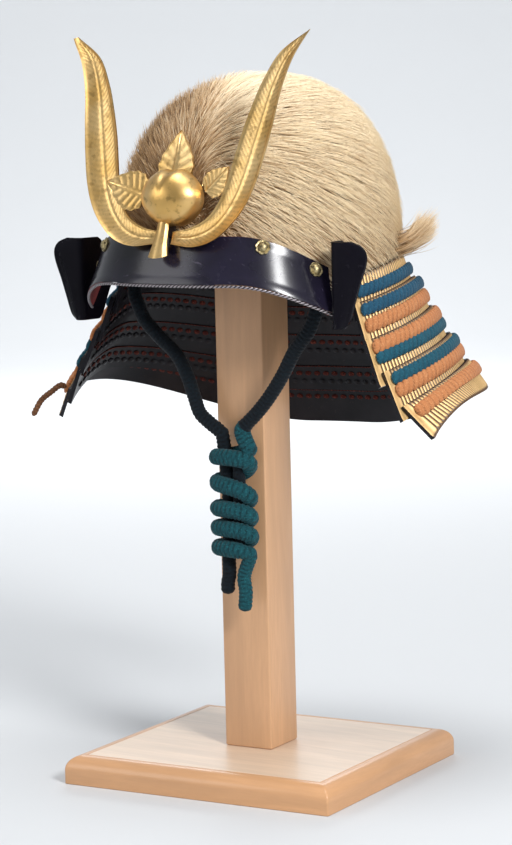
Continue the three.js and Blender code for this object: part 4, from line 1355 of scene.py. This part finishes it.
def raise_fruit():
    """A ripe fruit with a cleft above and a crease below, and its flared stem as a child of it."""
    rows, sides = 26, 84
    sections = []
    bearing = bearings(sides)

    def near(place, wide):
        return np.exp(-((np.angle(np.exp(1j * (bearing - place))) / wide) ** 2))

    cleft = 1 - 0.12 * near(PI / 2, 0.22) - 0.05 * near(-PI / 2, 0.2)
    lobes = 1 + 0.018 * np.cos(4 * bearing)
    for level in np.linspace(0, PI / 2 - 0.03, rows):
        crease = 1.5 * math.cos(level) ** 2 * near(PI / 2, 0.16)
        sections.append(np.stack([
            4 + 30 * math.cos(level) * np.cos(bearing) * lobes,
            -116.5 - 25 * math.sin(level) ** 0.9 + crease,
            526 + 25.5 * math.cos(level) * np.sin(bearing) * cleft * lobes], axis=1))
    fruit = sweep_mesh("crest_fruit", sections, ["gilt_copper"], np.ones((rows, sides)))
    stem, _ = smooth_path(STEM, 40)
    turn = bearings(40)
    loops, shades = [], []

    def loop(y, z, radius, ridge):
        loops.append(np.stack([radius * ridge * np.cos(turn), y + 0.75 * radius * np.sin(turn),
                               z + 0.25 * radius * np.sin(turn)], axis=1))

    # The shades paint shade into the stem's flutes and onto its hollowed end.
    for y, z, radius in stem:
        loop(y, z, radius, 1 + 0.035 * np.cos(8 * turn))
        shades.append(0.75 + 0.25 * np.cos(8 * turn))
    for shrink, rise in ((0.80, 0.0), (0.74, 1.6)):
        y, z, radius = stem[-1]
        loop(y, z + rise, radius * shrink, 1)
        shades.append(np.full(turn.size, 0.35))
    stalk = sweep_mesh("crest_stem", loops, ["gilt_copper"], shades)
    stalk.parent = fruit
    return fruit


def chase_leaf(name, base, tip, half, lift):
    along = np.array(tip, float) - np.array(base, float)
    across = np.array([-along[1], along[0]]) / np.linalg.norm(along)
    s = np.linspace(0, 1, 64)[:, None]
    w = np.linspace(-1, 1, 29)[None, :]
    scallop = 1 + 0.035 * np.cos(2 * PI * 5.5 * s)
    wide = half * np.sin(PI * (0.16 + 0.84 * s) ** 0.8) * scallop
    x = base[0] + along[0] * s + across[0] * wide * w
    z = base[1] + along[1] * s + across[1] * wide * w
    vein = np.abs(np.sin(PI * (s * 6.5 - 1.3 * np.abs(w)))) ** 0.4
    cut = (1 - vein) * smooth(0.06, 0.2, np.abs(w)) * (1 - smooth(0.85, 0.95, np.abs(w))) * (1 - s**3)
    midrib = np.exp(-((w / 0.07) ** 2))
    relief = 0.8 * cut - 0.9 * midrib - 0.5 * smooth(0.86, 0.97, np.abs(w))
    fold = 2.2 * (1 - np.abs(w)) * (1 - s)
    y = crest_y(z) + 2.2 - fold + 3 * s * (1 - s) - lift * s
    outer = np.stack([x, y + relief, z], axis=-1)
    inner = np.stack([x, y + GILT_WALL, z], axis=-1)
    # The tone paints shade into the chased veins.
    return wall_mesh(name, outer, inner, ["gilt_copper"], tone=np.clip(1 - 0.8 * cut, 0, 1))


# ---------------------------------------------------------------- panel and start
PIECES = (
    KABUTO_OT_stage, KABUTO_OT_chin_cord, KABUTO_OT_stand, KABUTO_OT_bowl, KABUTO_OT_hair, KABUTO_OT_brow,
    KABUTO_OT_turn_backs, KABUTO_OT_neck, KABUTO_OT_lacing, KABUTO_OT_crest,
)


class KABUTO_PT_panel(bpy.types.Panel):
    """Lists the helmet's sizes, colours and pieces"""

    bl_idname = "KABUTO_PT_panel"
    bl_label = "Kabuto"
    bl_space_type = "VIEW_3D"
    bl_region_type = "UI"
    bl_category = "Kabuto"

    def draw(self, context):
        for group in (context.scene.kabuto_stage, context.scene.kabuto_sizes, context.scene.kabuto_colours):
            box = self.layout.box()
            for key in type(group).__annotations__:
                box.prop(group, key)
        for piece in PIECES:
            self.layout.operator(piece.bl_idname)


CLASSES = (KabutoStage, KabutoSizes, KabutoColours, *PIECES, KABUTO_PT_panel)


def register():
    for kind in CLASSES:
        bpy.utils.register_class(kind)
    bpy.types.Scene.kabuto_stage = bpy.props.PointerProperty(type=KabutoStage)
    bpy.types.Scene.kabuto_sizes = bpy.props.PointerProperty(type=KabutoSizes)
    bpy.types.Scene.kabuto_colours = bpy.props.PointerProperty(type=KabutoColours)


def unregister():
    for name in ("kabuto_stage", "kabuto_sizes", "kabuto_colours"):
        delattr(bpy.types.Scene, name)
    for kind in reversed(CLASSES):
        bpy.utils.unregister_class(kind)


def main():
    register()
    for piece in PIECES:
        group, name = piece.bl_idname.split(".")
        getattr(getattr(bpy.ops, group), name)()


if __name__ == "__main__":
    main()
